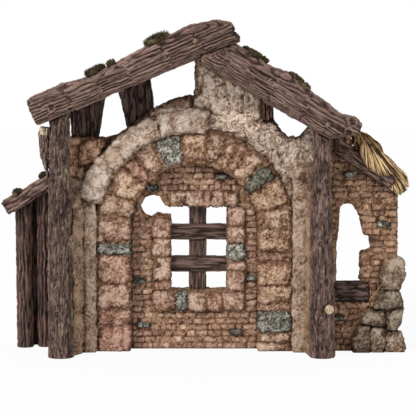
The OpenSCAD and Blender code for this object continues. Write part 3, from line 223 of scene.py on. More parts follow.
def noise(places, seed=0):
    """Gradient noise from about -1 to 1: each cell corner has a slope, and a point blends the eight slopes
    around it by 6t^5 - 15t^4 + 10t^3 of its place t in the cell."""
    cell, part = lattice(places)
    fade = part**3 * (part * (part * 6 - 15) + 10)
    total = np.zeros(len(places), np.float32)
    for dx in (0, 1):
        for dy in (0, 1):
            for dz in (0, 1):
                slope = thirds(hashed(*(cell[:, a] + np.uint32(d) for a, d in enumerate((dx, dy, dz))), seed))
                weight = np.ones(len(places), np.float32)
                rise = np.zeros(len(places), np.float32)
                for axis, step in enumerate((dx, dy, dz)):
                    weight *= fade[:, axis] if step else 1 - fade[:, axis]
                    rise += (slope[axis] * 2 - 1) * (part[:, axis] - step)
                total += weight * rise
    return total * 1.7


def fractal(places, seed=0, octaves=3):
    """Sum of noise whose scale halves and whose height halves with each octave."""
    total = sum(noise(places * 2**k + 17.3 * k, seed + k) / 2**k for k in range(octaves))
    return total / (2 - 2 / 2**octaves)


def ridged(places, seed=0, octaves=3):
    """From 0 in the folds to 1 along sharp crests: one less the size of the noise, squared, octave by
    octave."""
    total, heights = 0, 0
    for k in range(octaves):
        total = total + np.clip(1 - np.abs(noise(places * 2**k + 9.7 * k, seed + k)) * 1.5, 0, 1) ** 2 / 2**k
        heights += 1 / 2**k
    return total / heights


def warped(places, seed, amount):
    """Moves each point by noise of three seeds."""
    return places + amount * np.stack([noise(places * 0.7, seed + k) for k in (11, 12, 13)], 1)


def cells(places, seed=0):
    """Distances to the nearest and second nearest of points scattered one to a cell, and the nearest one's
    own number from 0 to 1."""
    cell, part = lattice(places)
    first = np.full(len(places), 9, np.float32)
    second = first.copy()
    tag = np.zeros(len(places), np.float32)
    for step in np.ndindex(3, 3, 3):
        shift = np.array(step) - 1
        bits = hashed(*(cell[:, a] + np.uint32(shift[a] & LOW_BITS) for a in range(3)), seed)
        gap = sum((shift[a] + x - part[:, a]) ** 2 for a, x in enumerate(thirds(bits)))
        nearer = gap < first
        second = np.where(nearer, first, np.minimum(second, gap))
        tag = np.where(nearer, ((bits >> np.uint32(5)) & np.uint32(4095)).astype(np.float32) / 4095, tag)
        first = np.where(nearer, gap, first)
    return np.sqrt(first), np.sqrt(second), tag


def smooth(low, high, value):
    """Rises from 0 at low to 1 at high with level ends."""
    t = np.clip((value - low) / (high - low), 0, 1)
    return t * t * (3 - 2 * t)


# Solids of the frame

def node_triangles(node):
    """Corners of a solid's triangles in millimetres, as one array of triangles by corners by axes."""
    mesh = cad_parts[node].data
    points = np.zeros(len(mesh.vertices) * 3)
    mesh.vertices.foreach_get("co", points)
    mesh.calc_loop_triangles()
    corners = np.zeros(len(mesh.loop_triangles) * 3, np.int32)
    mesh.loop_triangles.foreach_get("vertices", corners)
    return points.reshape(-1, 3)[corners.reshape(-1, 3)] / METRE


def welded(triangles):
    """Numbers the corners of triangles so that corners in one place share a number."""
    spots, numbers = np.unique(np.round(triangles.reshape(-1, 3), 3), axis=0, return_inverse=True)
    return spots, numbers.reshape(-1, 3)


def solids(node):
    """Splits a node into its separate solids: each corner takes the lowest number among the corners that
    its triangles join it to, until none changes."""
    triangles = node_triangles(node)
    spots, corners = welded(triangles)
    label = np.arange(len(spots))
    while True:
        new = label.copy()
        np.minimum.at(new, corners.ravel(), np.repeat(label[corners].min(1), 3))
        new = new[new]
        if (new == label).all():
            break
        label = new
    owner = label[corners[:, 0]]
    return [triangles[owner == number] for number in np.unique(owner)]


def outline(triangles, axis, highest):
    """Closed outlines of a solid's flat end across an axis: the edges that only one triangle of that end
    has, put in a chain."""
    height = triangles[:, :, axis]
    level = height.max() if highest else height.min()
    end = triangles[(np.abs(height - level) < 0.02).all(1)]
    spots, corners = welded(end)
    edges = np.concatenate([corners[:, [0, 1]], corners[:, [1, 2]], corners[:, [2, 0]]])
    code, back = edges @ [len(spots), 1], edges[:, ::-1] @ [len(spots), 1]
    follow = dict(edges[~np.isin(code, back)].tolist())
    flat = np.delete(spots, axis, 1)
    loops = []
    while follow:
        start, place = follow.popitem()
        chain = [start]
        while place != start:
            chain.append(place)
            place = follow.pop(place)
        loops.append(flat[chain])
    return loops


def section(triangles, axis, level):
    """Closed outlines of a cut across an axis: the line that the cutting plane leaves on each triangle, put
    in a chain."""
    height = triangles[:, :, axis] - level
    crossed = triangles[(height.min(1) < 0) & (height.max(1) > 0)]
    start, end = crossed, np.roll(crossed, -1, 1)
    h0, h1 = start[:, :, axis] - level, end[:, :, axis] - level
    t = h0 / np.where(h0 == h1, 1, h0 - h1)
    spots = start + t[..., None] * (end - start)
    hit = (h0 < 0) != (h1 < 0)
    rising = h0[hit].reshape(-1, 2)[:, 0] < 0
    pairs = np.delete(spots[hit].reshape(-1, 2, 3), axis, 2)
    pairs[rising] = pairs[rising][:, ::-1]
    places, numbers = np.unique(np.round(pairs.reshape(-1, 2), 2), axis=0, return_inverse=True)
    follow = dict(numbers.reshape(-1, 2).tolist())
    loops = []
    while follow:
        start_place, place = follow.popitem()
        chain = [start_place]
        while place != start_place and place in follow:
            chain.append(place)
            place = follow.pop(place)
        loops.append(places[chain])
    return [loop for loop in loops if len(loop) > 2]


def inside(loops, spots):
    """Whether each spot lies inside the outlines: a ray along the first axis crosses them an odd number of
    times."""
    odd = np.zeros(len(spots), bool)
    for loop in loops:
        for (x0, z0), (x1, z1) in zip(loop, np.roll(loop, -1, 0)):
            if z0 != z1:
                crosses = (z0 > spots[:, 1]) != (z1 > spots[:, 1])
                odd ^= crosses & (spots[:, 0] < (x1 - x0) * (spots[:, 1] - z0) / (z1 - z0) + x0)
    return odd


def nearest(loops, spots):
    """Distance from each spot to the outlines, and the nearest place on them."""
    gap, place = np.full(len(spots), 1e9), spots.copy()
    for loop in loops:
        for start, end in zip(loop, np.roll(loop, -1, 0)):
            run = end - start
            t = np.clip((spots - start) @ run / max(run @ run, 1e-9), 0, 1)
            there = start + t[:, None] * run
            away = np.hypot(*(spots - there).T)
            nearer = away < gap
            gap = np.where(nearer, away, gap)
            place[nearer] = there[nearer]
    return gap, place


# Shells

class Shell:
    """One closed surface in millimetres: its points and faces, the places at which noise is read, how much
    of the relief each point takes, how far its colour is darkened by wash and dirt and by painted shade, and
    its tint."""

    def __init__(self, points, quads, corners=None, at=None, give=1.0, clean=1.0, tint=0.5):
        count = len(points)
        self.points = points
        self.quads = quads.reshape(-1, 4)
        self.corners = np.zeros((0, 3), int) if corners is None else corners.reshape(-1, 3)
        self.at = points.copy() if at is None else at
        self.run = points[:, 2].copy()
        self.give, self.clean, self.tint = (np.broadcast_to(np.asarray(v, float), count).copy()
                                            for v in (give, clean, tint))
        faces = np.concatenate([self.quads[:, [0, 1, 2]], self.quads[:, [0, 2, 3]], self.corners])
        a, b, c = (points[faces[:, k]] for k in range(3))
        if np.einsum("ij,ij->i", a, np.cross(b, c)).sum() < 0:
            self.quads, self.corners = self.quads[:, ::-1], self.corners[:, ::-1]

    def normals(self):
        """Direction outwards at each point: the sum of its faces' directions weighed by area, made one
        long."""
        total = np.zeros_like(self.points)
        for faces in (self.quads, self.corners):
            if len(faces):
                p = self.points[faces]
                last = p[:, 3] if faces.shape[1] == 4 else p[:, 0]
                face = np.cross(p[:, 2] - p[:, 0], last - p[:, 1])
                for k in range(faces.shape[1]):
                    np.add.at(total, faces[:, k], face)
        return total / np.maximum(np.linalg.norm(total, axis=1, keepdims=True), 1e-9)


def joined(shells):
    """Puts shells one after another into one."""
    starts = np.cumsum([0] + [len(s.points) for s in shells[:-1]])
    made = Shell.__new__(Shell)
    made.quads = np.concatenate([s.quads + start for s, start in zip(shells, starts)])
    made.corners = np.concatenate([s.corners + start for s, start in zip(shells, starts)])
    for name in ("points", "at", "give", "clean", "tint", "run"):
        setattr(made, name, np.concatenate([getattr(s, name) for s in shells]))
    return made


def mended(full):
    """Fills one square of each pair that meets only at a corner, so that a border never crosses itself."""
    full = full.copy()
    for _ in range(6):
        a, b, c, d = full[:-1, :-1], full[1:, 1:], full[1:, :-1], full[:-1, 1:]
        first, second = a & b & ~c & ~d, c & d & ~a & ~b
        if not (first.any() or second.any()):
            break
        full[1:, :-1] |= first
        full[:-1, :-1] |= second
    return full


def slab(loops, low, high, axis, step, low_edge=1.0, high_edge=0.0, offset=0.0, side_give=0.4,
         sides_clean_and_lit=False, within=None, ragged=0.0, wash_and_shade_rim=2.4):
    """Solid over an outline between two heights. The squares of a grid whose middles lie inside the outline
    make one sheet at each height, their border moved onto the outline; a sheet falls away to its edge by a
    quarter circle of the distance to the outline; rows of squares join both borders. A ragged outline is
    moved by noise along the sheet. Each sheet darkens towards the outline over a band as wide as the last
    argument, and unless the sides are kept bright the side rows darken away from the low sheet: partly the
    wash in the joints, partly painted shade."""
    every = np.concatenate(loops)
    lowest, highest = every.min(0), every.max(0)
    count = np.maximum(2, np.ceil((highest - lowest) / step).astype(int))
    size = (highest - lowest) / count
    row, column = np.meshgrid(np.arange(count[0]), np.arange(count[1]), indexing="ij")
    middles = lowest + (np.stack([row, column], -1).reshape(-1, 2) + 0.5) * size
    full = inside(loops, middles)
    if within:
        full &= inside(within, middles)
        loops = [*loops, *within]
    full = mended(full.reshape(count))
    i, j = np.nonzero(full)
    wide = count[1] + 1
    squares = np.stack([i * wide + j, (i + 1) * wide + j, (i + 1) * wide + j + 1, i * wide + j + 1], 1)
    used, squares = np.unique(squares, return_inverse=True)
    squares = squares.reshape(-1, 4)
    flat = lowest + np.stack([used // wide, used % wide], 1) * size
    n = len(flat)
    edges = np.concatenate([squares[:, [k, (k + 1) % 4]] for k in range(4)])
    border = edges[~np.isin(edges @ [n, 1], edges[:, ::-1] @ [n, 1])]
    rim = np.unique(border)
    flat[rim] = nearest(loops, flat[rim])[1]
    free = np.ones(n, bool)
    free[rim] = False
    number = np.bincount(edges.ravel(), minlength=n)[:, None]
    for _ in range(3):
        total = np.zeros_like(flat)
        np.add.at(total, edges[:, 0], flat[edges[:, 1]])
        np.add.at(total, edges[:, 1], flat[edges[:, 0]])
        flat = np.where(free[:, None], total / number, flat)
    away = nearest(loops, flat)[0]
    away[rim] = 0
    if ragged:
        spots = np.insert(flat, axis, offset, 1) / 7
        flat = flat + ragged * np.stack([fractal(spots, 5, 2), fractal(spots + 31, 6, 2)], 1)
    top = high(flat) if callable(high) else np.full(n, float(high))
    thick = top - low

    def fall(radius):
        radius = np.minimum(radius, thick * 0.48)
        return radius - np.sqrt(np.maximum(radius**2 - np.clip(radius - away, 0, None) ** 2, 0))

    below, above = low + fall(low_edge), top - fall(high_edge)
    rows = max(1, int(round((above[rim] - below[rim]).max() / step)))
    t = np.arange(1, rows)[:, None] / rows
    between = (below[rim] * (1 - t) + above[rim] * t).reshape(-1)
    heights = np.concatenate([below, above, between])
    plane = np.concatenate([flat, flat, np.tile(flat[rim], (rows - 1, 1))])
    points = np.insert(plane, axis, heights, 1)
    place = np.zeros(n, int)
    place[rim] = np.arange(len(rim))
    e0, e1 = border.T
    sides = []
    for k in range(rows):
        at0 = [e0, e1] if k == 0 else [2 * n + (k - 1) * len(rim) + place[e] for e in (e0, e1)]
        at1 = [e0 + n, e1 + n] if k == rows - 1 else [2 * n + k * len(rim) + place[e] for e in (e0, e1)]
        sides.append(np.stack([at0[1], at0[0], at1[0], at1[1]], 1))
    quads = np.concatenate([squares, squares[:, ::-1] + n, *sides])
    deep = np.tile(t * (above[rim] - below[rim]), 1).reshape(-1)
    # Painted shade together with the wash in the joints: sheets darken towards the outline, side rows away
    # from the low sheet
    sheet = 0.5 + 0.5 * smooth(0, wash_and_shade_rim, away)
    clean = np.concatenate([sheet, sheet,
                            np.ones(len(between)) if sides_clean_and_lit else 0.55 - 0.4 * smooth(0, 9, deep)])
    give = np.concatenate([np.ones(n), np.ones(n), np.full(len(between), side_give)])
    return Shell(points, quads, at=points + offset, give=give, clean=clean)


def cuts(triangles, along, up, side, stations):
    """Lowest and highest reach of a solid upwards and sideways where planes across its length cut its
    triangle edges, one row for each plane."""
    start = triangles.reshape(-1, 3)
    end = np.roll(triangles, -1, 1).reshape(-1, 3)
    s0, s1 = start @ along, end @ along
    here = stations[:, None]
    crosses = ((s0 <= here) & (s1 > here)) | ((s1 <= here) & (s0 > here))
    t = np.where(crosses, (here - s0) / np.where(s1 == s0, 1, s1 - s0), 0)
    reach = []
    for axis in (up, side):
        a, b = start @ axis, end @ axis
        value = a + t * (b - a)
        reach += [np.where(crosses, value, np.inf).min(1), np.where(crosses, value, -np.inf).max(1)]
    return np.stack(reach, 1)


def closed(values, reach=2):
    """Fills dips of a row of values that are narrower than twice the reach: highest in a window, then
    lowest."""
    for pick in (np.maximum, np.minimum):
        wide = np.pad(values, reach, mode="edge")
        values = pick.reduce([wide[k:k + len(values)] for k in range(2 * reach + 1)])
    return values


def slope(pitch):
    """Directions along a slope and square to it, from its pitch in degrees."""
    turn = math.radians(pitch)
    return (math.cos(turn), 0, math.sin(turn)), (-math.sin(turn), 0, math.cos(turn))


def tube(rows, around):
    """Faces of rings of points in a row, with a pole past each end: squares between the rings, and triangles
    from the end rings to the poles, whose numbers follow those of the rings."""
    i, j = np.meshgrid(np.arange(rows - 1), np.arange(around), indexing="ij")
    nxt = (j + 1) % around
    quads = np.stack([i * around + j, i * around + nxt, (i + 1) * around + nxt, (i + 1) * around + j], -1)
    j = np.arange(around)
    nxt = (j + 1) % around
    pole, ring = np.full(around, rows * around), (rows - 1) * around
    corners = np.concatenate([np.stack([pole, nxt, j], 1), np.stack([pole + 1, ring + j, ring + nxt], 1)])
    return quads.reshape(-1, 4), corners


def limb(triangles, along, up, step, around, stretch=9.0, square=2.6, ragged=(0.0, 0.0), seed=0,
         cut=(0, 0), shrink=0.0):
    """Log that fills a solid: rings of a rounded square, |x|^p + |y|^p = 1, carried along its axis, each as
    wide and high as the solid is there less the shrink, its two ends drawn back by noise of the angle, and
    closed by rings that run to a middle point. Noise is read with the length divided by the stretch. An end
    that is cut gets the tint of a cut face."""
    along, up = (np.array(v, float) / np.linalg.norm(v) for v in (along, up))
    side = np.cross(along, up)
    places = triangles.reshape(-1, 3) @ along
    low, high = places.min() + 0.05, places.max() - 0.05
    stations = np.linspace(low, high, max(8, int((high - low) / step)))
    reach = cuts(triangles, along, up, side, stations)
    reach = np.stack([closed(reach[:, k] * sign) * sign for k, sign in enumerate((-1, 1, -1, 1))], 1)
    angle = np.arange(around) * 2 * np.pi / around
    round_c, round_s = (np.sign(f) * np.abs(f) ** (2 / square) for f in (np.cos(angle), np.sin(angle)))
    ring = np.stack([np.cos(angle) * 1.6, np.sin(angle) * 1.6, np.full(around, seed * 3.1)], 1)
    back = [r * (0.15 + 0.85 * np.clip(0.5 + 0.9 * fractal(ring + e * 7, seed + e, 3), 0, 1))
            for e, r in enumerate(ragged)]
    t = np.linspace(0, 1, len(stations))[:, None]
    s = (low + back[0]) * (1 - t) + (high - back[1]) * t
    u0, u1, v0, v1 = (np.interp(s, stations, reach[:, k]) for k in range(4))
    centre = np.stack([(u0 + u1) / 2, (v0 + v1) / 2])
    half = np.stack([(u1 - u0) / 2 - shrink, (v1 - v0) / 2 - shrink]).clip(0.2)
    rings = (s, centre[0] + half[0] * round_s, centre[1] + half[1] * round_c)
    is_end = np.zeros(s.shape)
    for which in (0, -1):
        s_end, u_end, v_end = (grid[which][None] for grid in rings)
        u_mid, v_mid = centre[0, which].mean(), centre[1, which].mean()
        out = (-1 if which == 0 else 1) * 0.9
        f = np.array([0.93, 0.8, 0.62, 0.42, 0.2])[:, None]
        s_cap = (s_end + out) * f + (s_end.mean() + out) * (1 - f)
        cap = (s_cap, u_mid + (u_end - u_mid) * f, v_mid + (v_end - v_mid) * f)
        marks = np.full(s_cap.shape, 1.0 if cut[which] else 0.001)
        if which == 0:
            rings = tuple(np.concatenate([c[::-1], r]) for c, r in zip(cap, rings))
            is_end = np.concatenate([marks[::-1], is_end])
        else:
            rings = tuple(np.concatenate([r, c]) for c, r in zip(cap, rings))
            is_end = np.concatenate([is_end, marks])
    s, u, v = rings
    points = (s[..., None] * along + u[..., None] * up + v[..., None] * side).reshape(-1, 3)
    poles = np.stack([points[:around].mean(0), points[-around:].mean(0)])
    points = np.concatenate([points, poles])
    ended = np.concatenate([is_end.reshape(-1), is_end[0, :1], is_end[-1, :1]])
    pull = np.where(ended > 0, 1.0, 1 / stretch)
    at = np.stack([points @ along * pull, points @ side, points @ up], 1) + seed * 13.7
    made = Shell(points, *tube(len(s), around), at=at)
    made.run = points @ along
    made.tint = np.where(ended > 0.5, 1.0, 0.0)
    made.clean = np.where((ended > 0) & (ended < 0.5), 0.55, 1.0)
    return made


def bulb(centre, radii, rows, around, seed=0):
    """Ball with poles above and below: x = a sin(p) cos(q), y = b sin(p) sin(q), z = c cos(p)."""
    p = (np.arange(1, rows) * np.pi / rows)[:, None]
    q = (np.arange(around) * 2 * np.pi / around)[None]
    unit = np.stack([np.sin(p) * np.cos(q), np.sin(p) * np.sin(q), np.cos(p) + 0 * q], -1).reshape(-1, 3)
    unit = np.concatenate([unit, [[0, 0, 1], [0, 0, -1]]])
    points = centre + unit * radii
    return Shell(points, *tube(rows - 1, around), at=points + seed * 5.3)


def strands(starts, ends, radius, bend, tint, sides=5, stations=5, tip=0.45):
    """Many thin rods at once: each is a ring of a few points carried from start to end, pushed sideways by
    bend times the sine of its run, thinner towards its tip, and closed by a point at each end."""
    n = len(starts)
    run = ends - starts
    way = run / np.linalg.norm(run, axis=1, keepdims=True)
    aside = np.cross(way, [0.13, 0.97, 0.2])
    aside /= np.linalg.norm(aside, axis=1, keepdims=True)
    other = np.cross(way, aside)
    t = np.linspace(0, 1, stations)
    path = starts[:, None] + run[:, None] * t[None, :, None]
    path = path + np.sin(np.pi * t)[None, :, None] * (aside * bend[:, :1] + other * bend[:, 1:2])[:, None]
    thick = radius[:, None] * (1 - (1 - tip) * t[None] ** 2) * np.where((t == 0) | (t == 1), 0.8, 1)
    angle = np.arange(sides) * 2 * np.pi / sides
    ring = (np.cos(angle)[None, :, None] * aside[:, None] + np.sin(angle)[None, :, None] * other[:, None])
    body = (path[:, :, None] + thick[:, :, None, None] * ring[:, None]).reshape(n, -1, 3)
    poles = np.stack([starts - way * radius[:, None] * 0.3, ends + way * radius[:, None] * 0.3], 1)
    points = np.concatenate([body, poles], 1)
    quads, corners = tube(stations, sides)
    start = (np.arange(n) * points.shape[1])[:, None, None]
    made = Shell(points.reshape(-1, 3), quads + start, corners + start, give=0.0,
                 tint=np.repeat(tint, points.shape[1]))
    # Painted shade: each rod is darkest at its root, lightest a little past its middle and a bit darker at
    # its tip
    shade = np.concatenate([np.repeat(0.6 + 0.4 * np.sin(np.pi * t * 0.85), sides), [0.5, 0.7]])
    made.clean = (np.repeat(tint, points.shape[1]).reshape(n, -1) * shade).reshape(-1)
    return made


# Reliefs, from 0 in the deepest hollow to 1 on the solid's own face

def hewn(shell, seed=0, swell=17.0, fold=8.5):
    """Hewn stone: soft lumps, wavy folds of two sizes that run over them, and grain."""
    p = shell.at
    lumps = fractal(p / swell, seed + 15, 2)
    folds = ridged(warped(p / fold, seed + 3, 0.7), seed + 7, 2)
    small = ridged(warped(p * [0.8, 1, 1.2] / (fold * 0.45), seed + 5, 0.6), seed + 17, 2)
    grain = fractal(p / 2.4, seed + 9, 2)
    return np.clip(0.5 + 0.42 * lumps + 0.42 * (folds - 0.36) + 0.26 * (small - 0.36) + 0.09 * grain, 0, 1)


def pitted(shell, seed=0):
    """Hand-made brick: swells, folds and grain."""
    p = shell.at
    swell = fractal(p / 9, seed, 2)
    pits = ridged(warped(p / 5.5, seed + 4, 0.5), seed + 4, 2)
    grain = fractal(p / 1.9, seed + 9, 2)
    return np.clip(0.52 + 0.3 * swell + 0.34 * (pits - 0.36) + 0.16 * grain, 0, 1)


def layered(shell, seed=0):
    """Slate: thin beds along its length, broken in steps."""
    p = shell.at * [0.22, 0.5, 1]
    beds = ridged(warped(p / 5.5, seed, 0.4), seed + 3, 3)
    near, far, tag = cells(shell.at * [0.5, 1, 1] / 7, seed + 5)
    grain = fractal(shell.at / 2, seed + 9, 2)
    return np.clip(0.2 + 0.5 * beds + 0.3 * tag * smooth(0, 0.25, far - near) + 0.12 * grain, 0, 1)


def plates(shell, seed=0, size=17.0):
    """Lime render: upright flutes near the gable's head that turn into rough flakes lower down, with cracks
    between them, folds and grain."""
    high = smooth(335, 390, shell.points[:, 2])[:, None]
    p = shell.at * (np.array([1, 1, 1.0]) * (1 - high) + np.array([1.1, 1, 0.55]) * high)
    near, far, tag = cells(warped(p / size, seed, 0.8), seed)
    folds = ridged(warped(p / 12, seed + 2, 0.7), seed + 7, 3)
    small = ridged(warped(p / 5, seed + 5, 0.6), seed + 8, 2)
    cracks = 1 - smooth(0.0, 0.1, far - near)
    grain = fractal(p / 2.6, seed + 9, 2)
    level = 0.56 + 0.3 * (tag - 0.5) + 0.4 * (folds - 0.36) + 0.2 * (small - 0.36) + 0.1 * grain
    return np.clip(level - 0.26 * cracks, 0, 1)


def bark(shell, seed=0, strip=4.8, breaks=(), scales=0.0, soft=0.0, ridge=0.0):
    """Bark: rounded strands side by side along the grain, each at its own height, with dark creases between
    them and finer folds on them. At its breaks, which are jagged lines across the log, the strands end and
    others begin. The scales share adds short plates, and the soft share fills the creases. A ridge width
    lays long wavy ridges of that width over the strands. Cut faces get rings instead."""
    at = shell.at
    level, part = 0.0, np.zeros(len(at))
    if len(breaks):
        jagged = shell.run + 11 * noise(at * [0, 1, 1] / 9 + 3.3, seed)
        jagged = jagged + 6 * noise(at * [0, 1, 1] / 3, seed + 1)
        part = np.searchsorted(np.asarray(breaks, float), jagged)
        gap = np.abs(jagged[:, None] - np.asarray(breaks, float)[None]).min(1)
        at = at + np.sin(part * 2.1)[:, None] * np.array([0.2, 1.3, 1.0])
        open_here = smooth(-0.3, 0.25, noise(shell.points / 11, seed + 2))
        level = 0.06 * np.sin(part * 2.4) - 0.36 * (1 - smooth(0.3, 1.7, gap)) * open_here
    bend = np.stack([noise(at * [1, 0.3, 0.3] / 5, seed + k) for k in (11, 12, 13)], 1) * 0.3
    near, far, tag = cells(at / strip + bend, seed)
    crease = smooth(0.0, 0.24, far - near)
    folds = ridged(at * [0.8, 1, 1] / 3.6, seed + 3, 2)
    grain = fractal(at * [3, 1, 1] / 1.9, seed + 9, 2)
    body = (0.6 + 0.16 * tag) * (0.15 + 0.85 * crease) + 0.16 * (1 - near)
    strands_level = body + 0.36 * (folds - 0.45) + 0.08 * grain
    if ridge:
        wave = np.stack([shell.run, shell.at[:, 1], shell.at[:, 2]], 1)
        across = wave[:, 1] + wave[:, 2] + 3.0 * np.sin(part * 2.1)
        across = across + 2.6 * noise(wave / [30, 15, 15], seed + 21)
        across = across + 1.1 * noise(wave / [9, 6, 6], seed + 22)
        number = np.floor(across / ridge)
        near_edge = 2 * np.abs(across / ridge - number - 0.5)
        high = np.modf(np.abs(np.sin(number * 12.9898 + part * 78.233) * 437.585))[0]
        fine = ridged(wave / [16, 2.6, 2.6], seed + 23, 2)
        lines = (0.52 + 0.3 * high) * (1 - smooth(0.3, 0.95, near_edge)) + 0.08 + 0.42 * (fine - 0.42)
        strands_level = 0.72 * lines + 0.28 * strands_level
    filled = 0.5 + 0.2 * (tag - 0.5) + 0.2 * (folds - 0.45) + 0.25 * grain
    level = level + strands_level * (1 - soft) + soft * filled
    if scales:
        wide = np.stack([shell.run / 15, at[:, 1] / 7.5, at[:, 2] / 7.5], 1)
        close, other, mark = cells(warped(wide, seed + 5, 0.5), seed + 5)
        level = level - scales * (1 - smooth(0.0, 0.14, other - close)) * 0.35 + scales * 0.36 * (mark - 0.5)
    rings = 0.54 + 0.26 * np.sin(np.hypot(*(shell.at[:, 1:] - shell.at[:, 1:].mean(0)).T) * 1.9) + 0.2 * grain
    return np.where(shell.tint > 0.5, np.clip(rings, 0, 1), np.clip(level, 0, 1))


def knotted(shell, level, knots):
    """Adds knots to a trunk's relief: rings round each place, given as x, z and radius, on its front."""
    for x, z, size in knots:
        away = np.hypot(shell.points[:, 0] - x, (shell.points[:, 2] - z) / 1.35) / size
        away = away + 0.28 * noise(shell.points / 5, 3)
        share = (1 - smooth(0.75, 1.15, away)) * (shell.points[:, 1] < shell.points[:, 1].mean())
        rings = np.clip(0.5 + 0.34 * np.cos(away * 8) - 0.3 * (away < 0.2), 0, 1)
        level = level * (1 - share) + share * rings
    return level


BACK_SHIFTS = (0.08, -0.14, 0.11, -0.05, -0.1)


def rubble_wall(shell, left, seed=0, course=42.0, stone=60.0):
    """Backing wall: on its back, courses of squared rubble whose joints lie as in the solid; on its front,
    small rough stones bedded in mortar."""
    x, z = shell.points[:, 0], shell.points[:, 2]
    row = np.floor(z / course).astype(int)
    gap = np.where(z < course * 0.5, 9.0, np.abs(z - course * np.round(z / course)))
    wobble = 1.8 * noise(shell.at / 16, seed + 1) + 1.2 * noise(shell.at / 6, seed + 2)
    number = np.zeros(len(x))
    for i in range(9):
        shift = np.take(BACK_SHIFTS, (i + 2 * row) % 5) + (row % 2) / 2
        joint = left + stone * (i + shift)
        if i:
            gap = np.minimum(gap, np.abs(x - joint))
        number = np.where(x > joint, i, number)
    tag = np.modf(np.abs(np.sin(number * 12.9898 + row * 78.233) * 437.585))[0]
    folds = ridged(shell.at / 9, seed + 3, 3)
    facet = cells(shell.at / 15, seed + 4)[2]
    grain = fractal(shell.at / 3.4, seed + 9, 2)
    chips = ridged(warped(shell.at / 17, seed + 6, 0.8), seed + 6, 2)
    back = smooth(0.2, 8.0, gap + wobble) * (0.5 + 0.2 * tag + 0.2 * facet) + 0.4 * (folds - 0.4)
    back = back + 0.4 * (chips - 0.4) + 0.12 * grain
    flat = warped(shell.at * [0.8, 0.8, 1.35] / 9.5, seed, 0.3)
    near, far, small = cells(flat, seed)
    front = smooth(0.04, 0.25, far - near) * (0.5 + 0.3 * small) + 0.25 * (folds - 0.3) + 0.15 * grain
    behind = shell.points[:, 1] > shell.points[:, 1].max() - 5
    patch = np.clip(tag + 0.35 * (facet - 0.5) + 0.25 * fractal(shell.at / 40, seed + 8, 2), 0, 0.9)
    return np.clip(np.where(behind, back, front), 0, 1), np.where(behind, patch, 0.3 + 0.5 * small)


def bedded(shell, seed=0, size=11.0):
    """Mortar between stones, with small stones in it: rounded cells, folds and grain."""
    p = shell.at * [0.8, 1, 1.25]
    near, far, tag = cells(warped(p / size, seed, 0.5), seed)
    folds = ridged(warped(p / 6, seed + 4, 0.6), seed + 4, 2)
    small = smooth(0.02, 0.3, far - near) * (0.34 + 0.3 * tag)
    return np.clip(0.2 + small + 0.34 * (folds - 0.36) + 0.12 * fractal(p / 2.4, seed + 9, 2), 0, 1)


def mossy(shell, seed=0):
    """Moss: tight cushions of two sizes, over broader lumps."""
    big = cells(shell.at / 9, seed)
    small = cells(shell.at / 3.4, seed + 3)
    lumps = fractal(shell.at / 13, seed + 6, 2)
    level = 1.05 - 0.55 * big[0] - 0.5 * small[0] + 0.5 * lumps + 0.15 * fractal(shell.at / 2, seed + 5, 2)
    return np.clip(level, 0, 1)


# Meshes

def dress(node, shells, relief, depth, finish, seat=None, centre=0.62):
    """Makes the piece that stands for a node: reads the relief once, moves each point outwards by the depth
    times what the relief has over its centre, or inwards, keeps feet on the floor and seats flat, and writes
    relief, tint and grain."""
    whole = joined(shells)
    normals = whole.normals()
    made = relief(whole)
    level = made[0] if isinstance(made, tuple) else made
    if isinstance(made, tuple):
        whole.tint = made[1]
    give = whole.give.copy()
    give[(whole.points[:, 2] < 0.6) & (normals[:, 2] < -0.3)] = 0
    if seat is not None:
        give[seat(whole.points, normals)] = 0
    whole.points = whole.points + normals * (give * depth / METRE * (level - centre))[:, None]
    whole.points[:, 2] = np.maximum(whole.points[:, 2], 0)
    piece = make_mesh(f"{node}_surface", whole, np.clip(level * whole.clean, 0, 1))
    piece.data.materials.append(finish)
    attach(piece, "root")
    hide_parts(node)


def make_mesh(name, shell, level):
    """Puts a shell's arrays into a new mesh object at the origin."""
    mesh = bpy.data.meshes.new(name)
    quads, corners = shell.quads, shell.corners
    mesh.vertices.add(len(shell.points))
    mesh.vertices.foreach_set("co", (shell.points * METRE).astype(np.float32).ravel())
    loops = np.concatenate([quads.ravel(), corners.ravel()]).astype(np.int32)
    starts = np.concatenate([np.arange(len(quads)) * 4, len(quads) * 4 + np.arange(len(corners)) * 3])
    mesh.loops.add(len(loops))
    mesh.loops.foreach_set("vertex_index", loops)
    mesh.polygons.add(len(quads) + len(corners))
    mesh.polygons.foreach_set("loop_start", starts.astype(np.int32))
    mesh.update(calc_edges=True)
    mesh.validate()
    mesh.shade_smooth()
    for label, values in (("relief", level), ("tint", shell.tint)):
        layer = mesh.attributes.new(label, "FLOAT", "POINT")
        layer.data.foreach_set("value", values.astype(np.float32))
    layer = mesh.attributes.new("grain", "FLOAT_VECTOR", "POINT")
    layer.data.foreach_set("vector", (shell.at * METRE).astype(np.float32).ravel())
    piece = bpy.data.objects.new(name, mesh)
    bpy.context.scene.collection.objects.link(piece)
    return piece


# Materials

class Strength:
    """A number socket of a material. Adding, taking away, multiplying or dropping its sign adds a
    Math node."""

    def __init__(self, finish, socket):
        self.finish, self.socket = finish, socket

    def joined_by(self, operation, first, second):
        """A Math node on two values, which may be sockets or numbers."""
        return self.finish.node("ShaderNodeMath", {"operation": operation}, {0: first, 1: second})

    def __add__(self, other):
        return self.joined_by("ADD", self, other)

    def __sub__(self, other):
        return self.joined_by("SUBTRACT", self, other)

    def __mul__(self, other):
        return self.joined_by("MULTIPLY", self, other)

    def __rsub__(self, other):
        return self.joined_by("SUBTRACT", other, self)

    def __abs__(self):
        return self.joined_by("ABSOLUTE", self, 0.0)


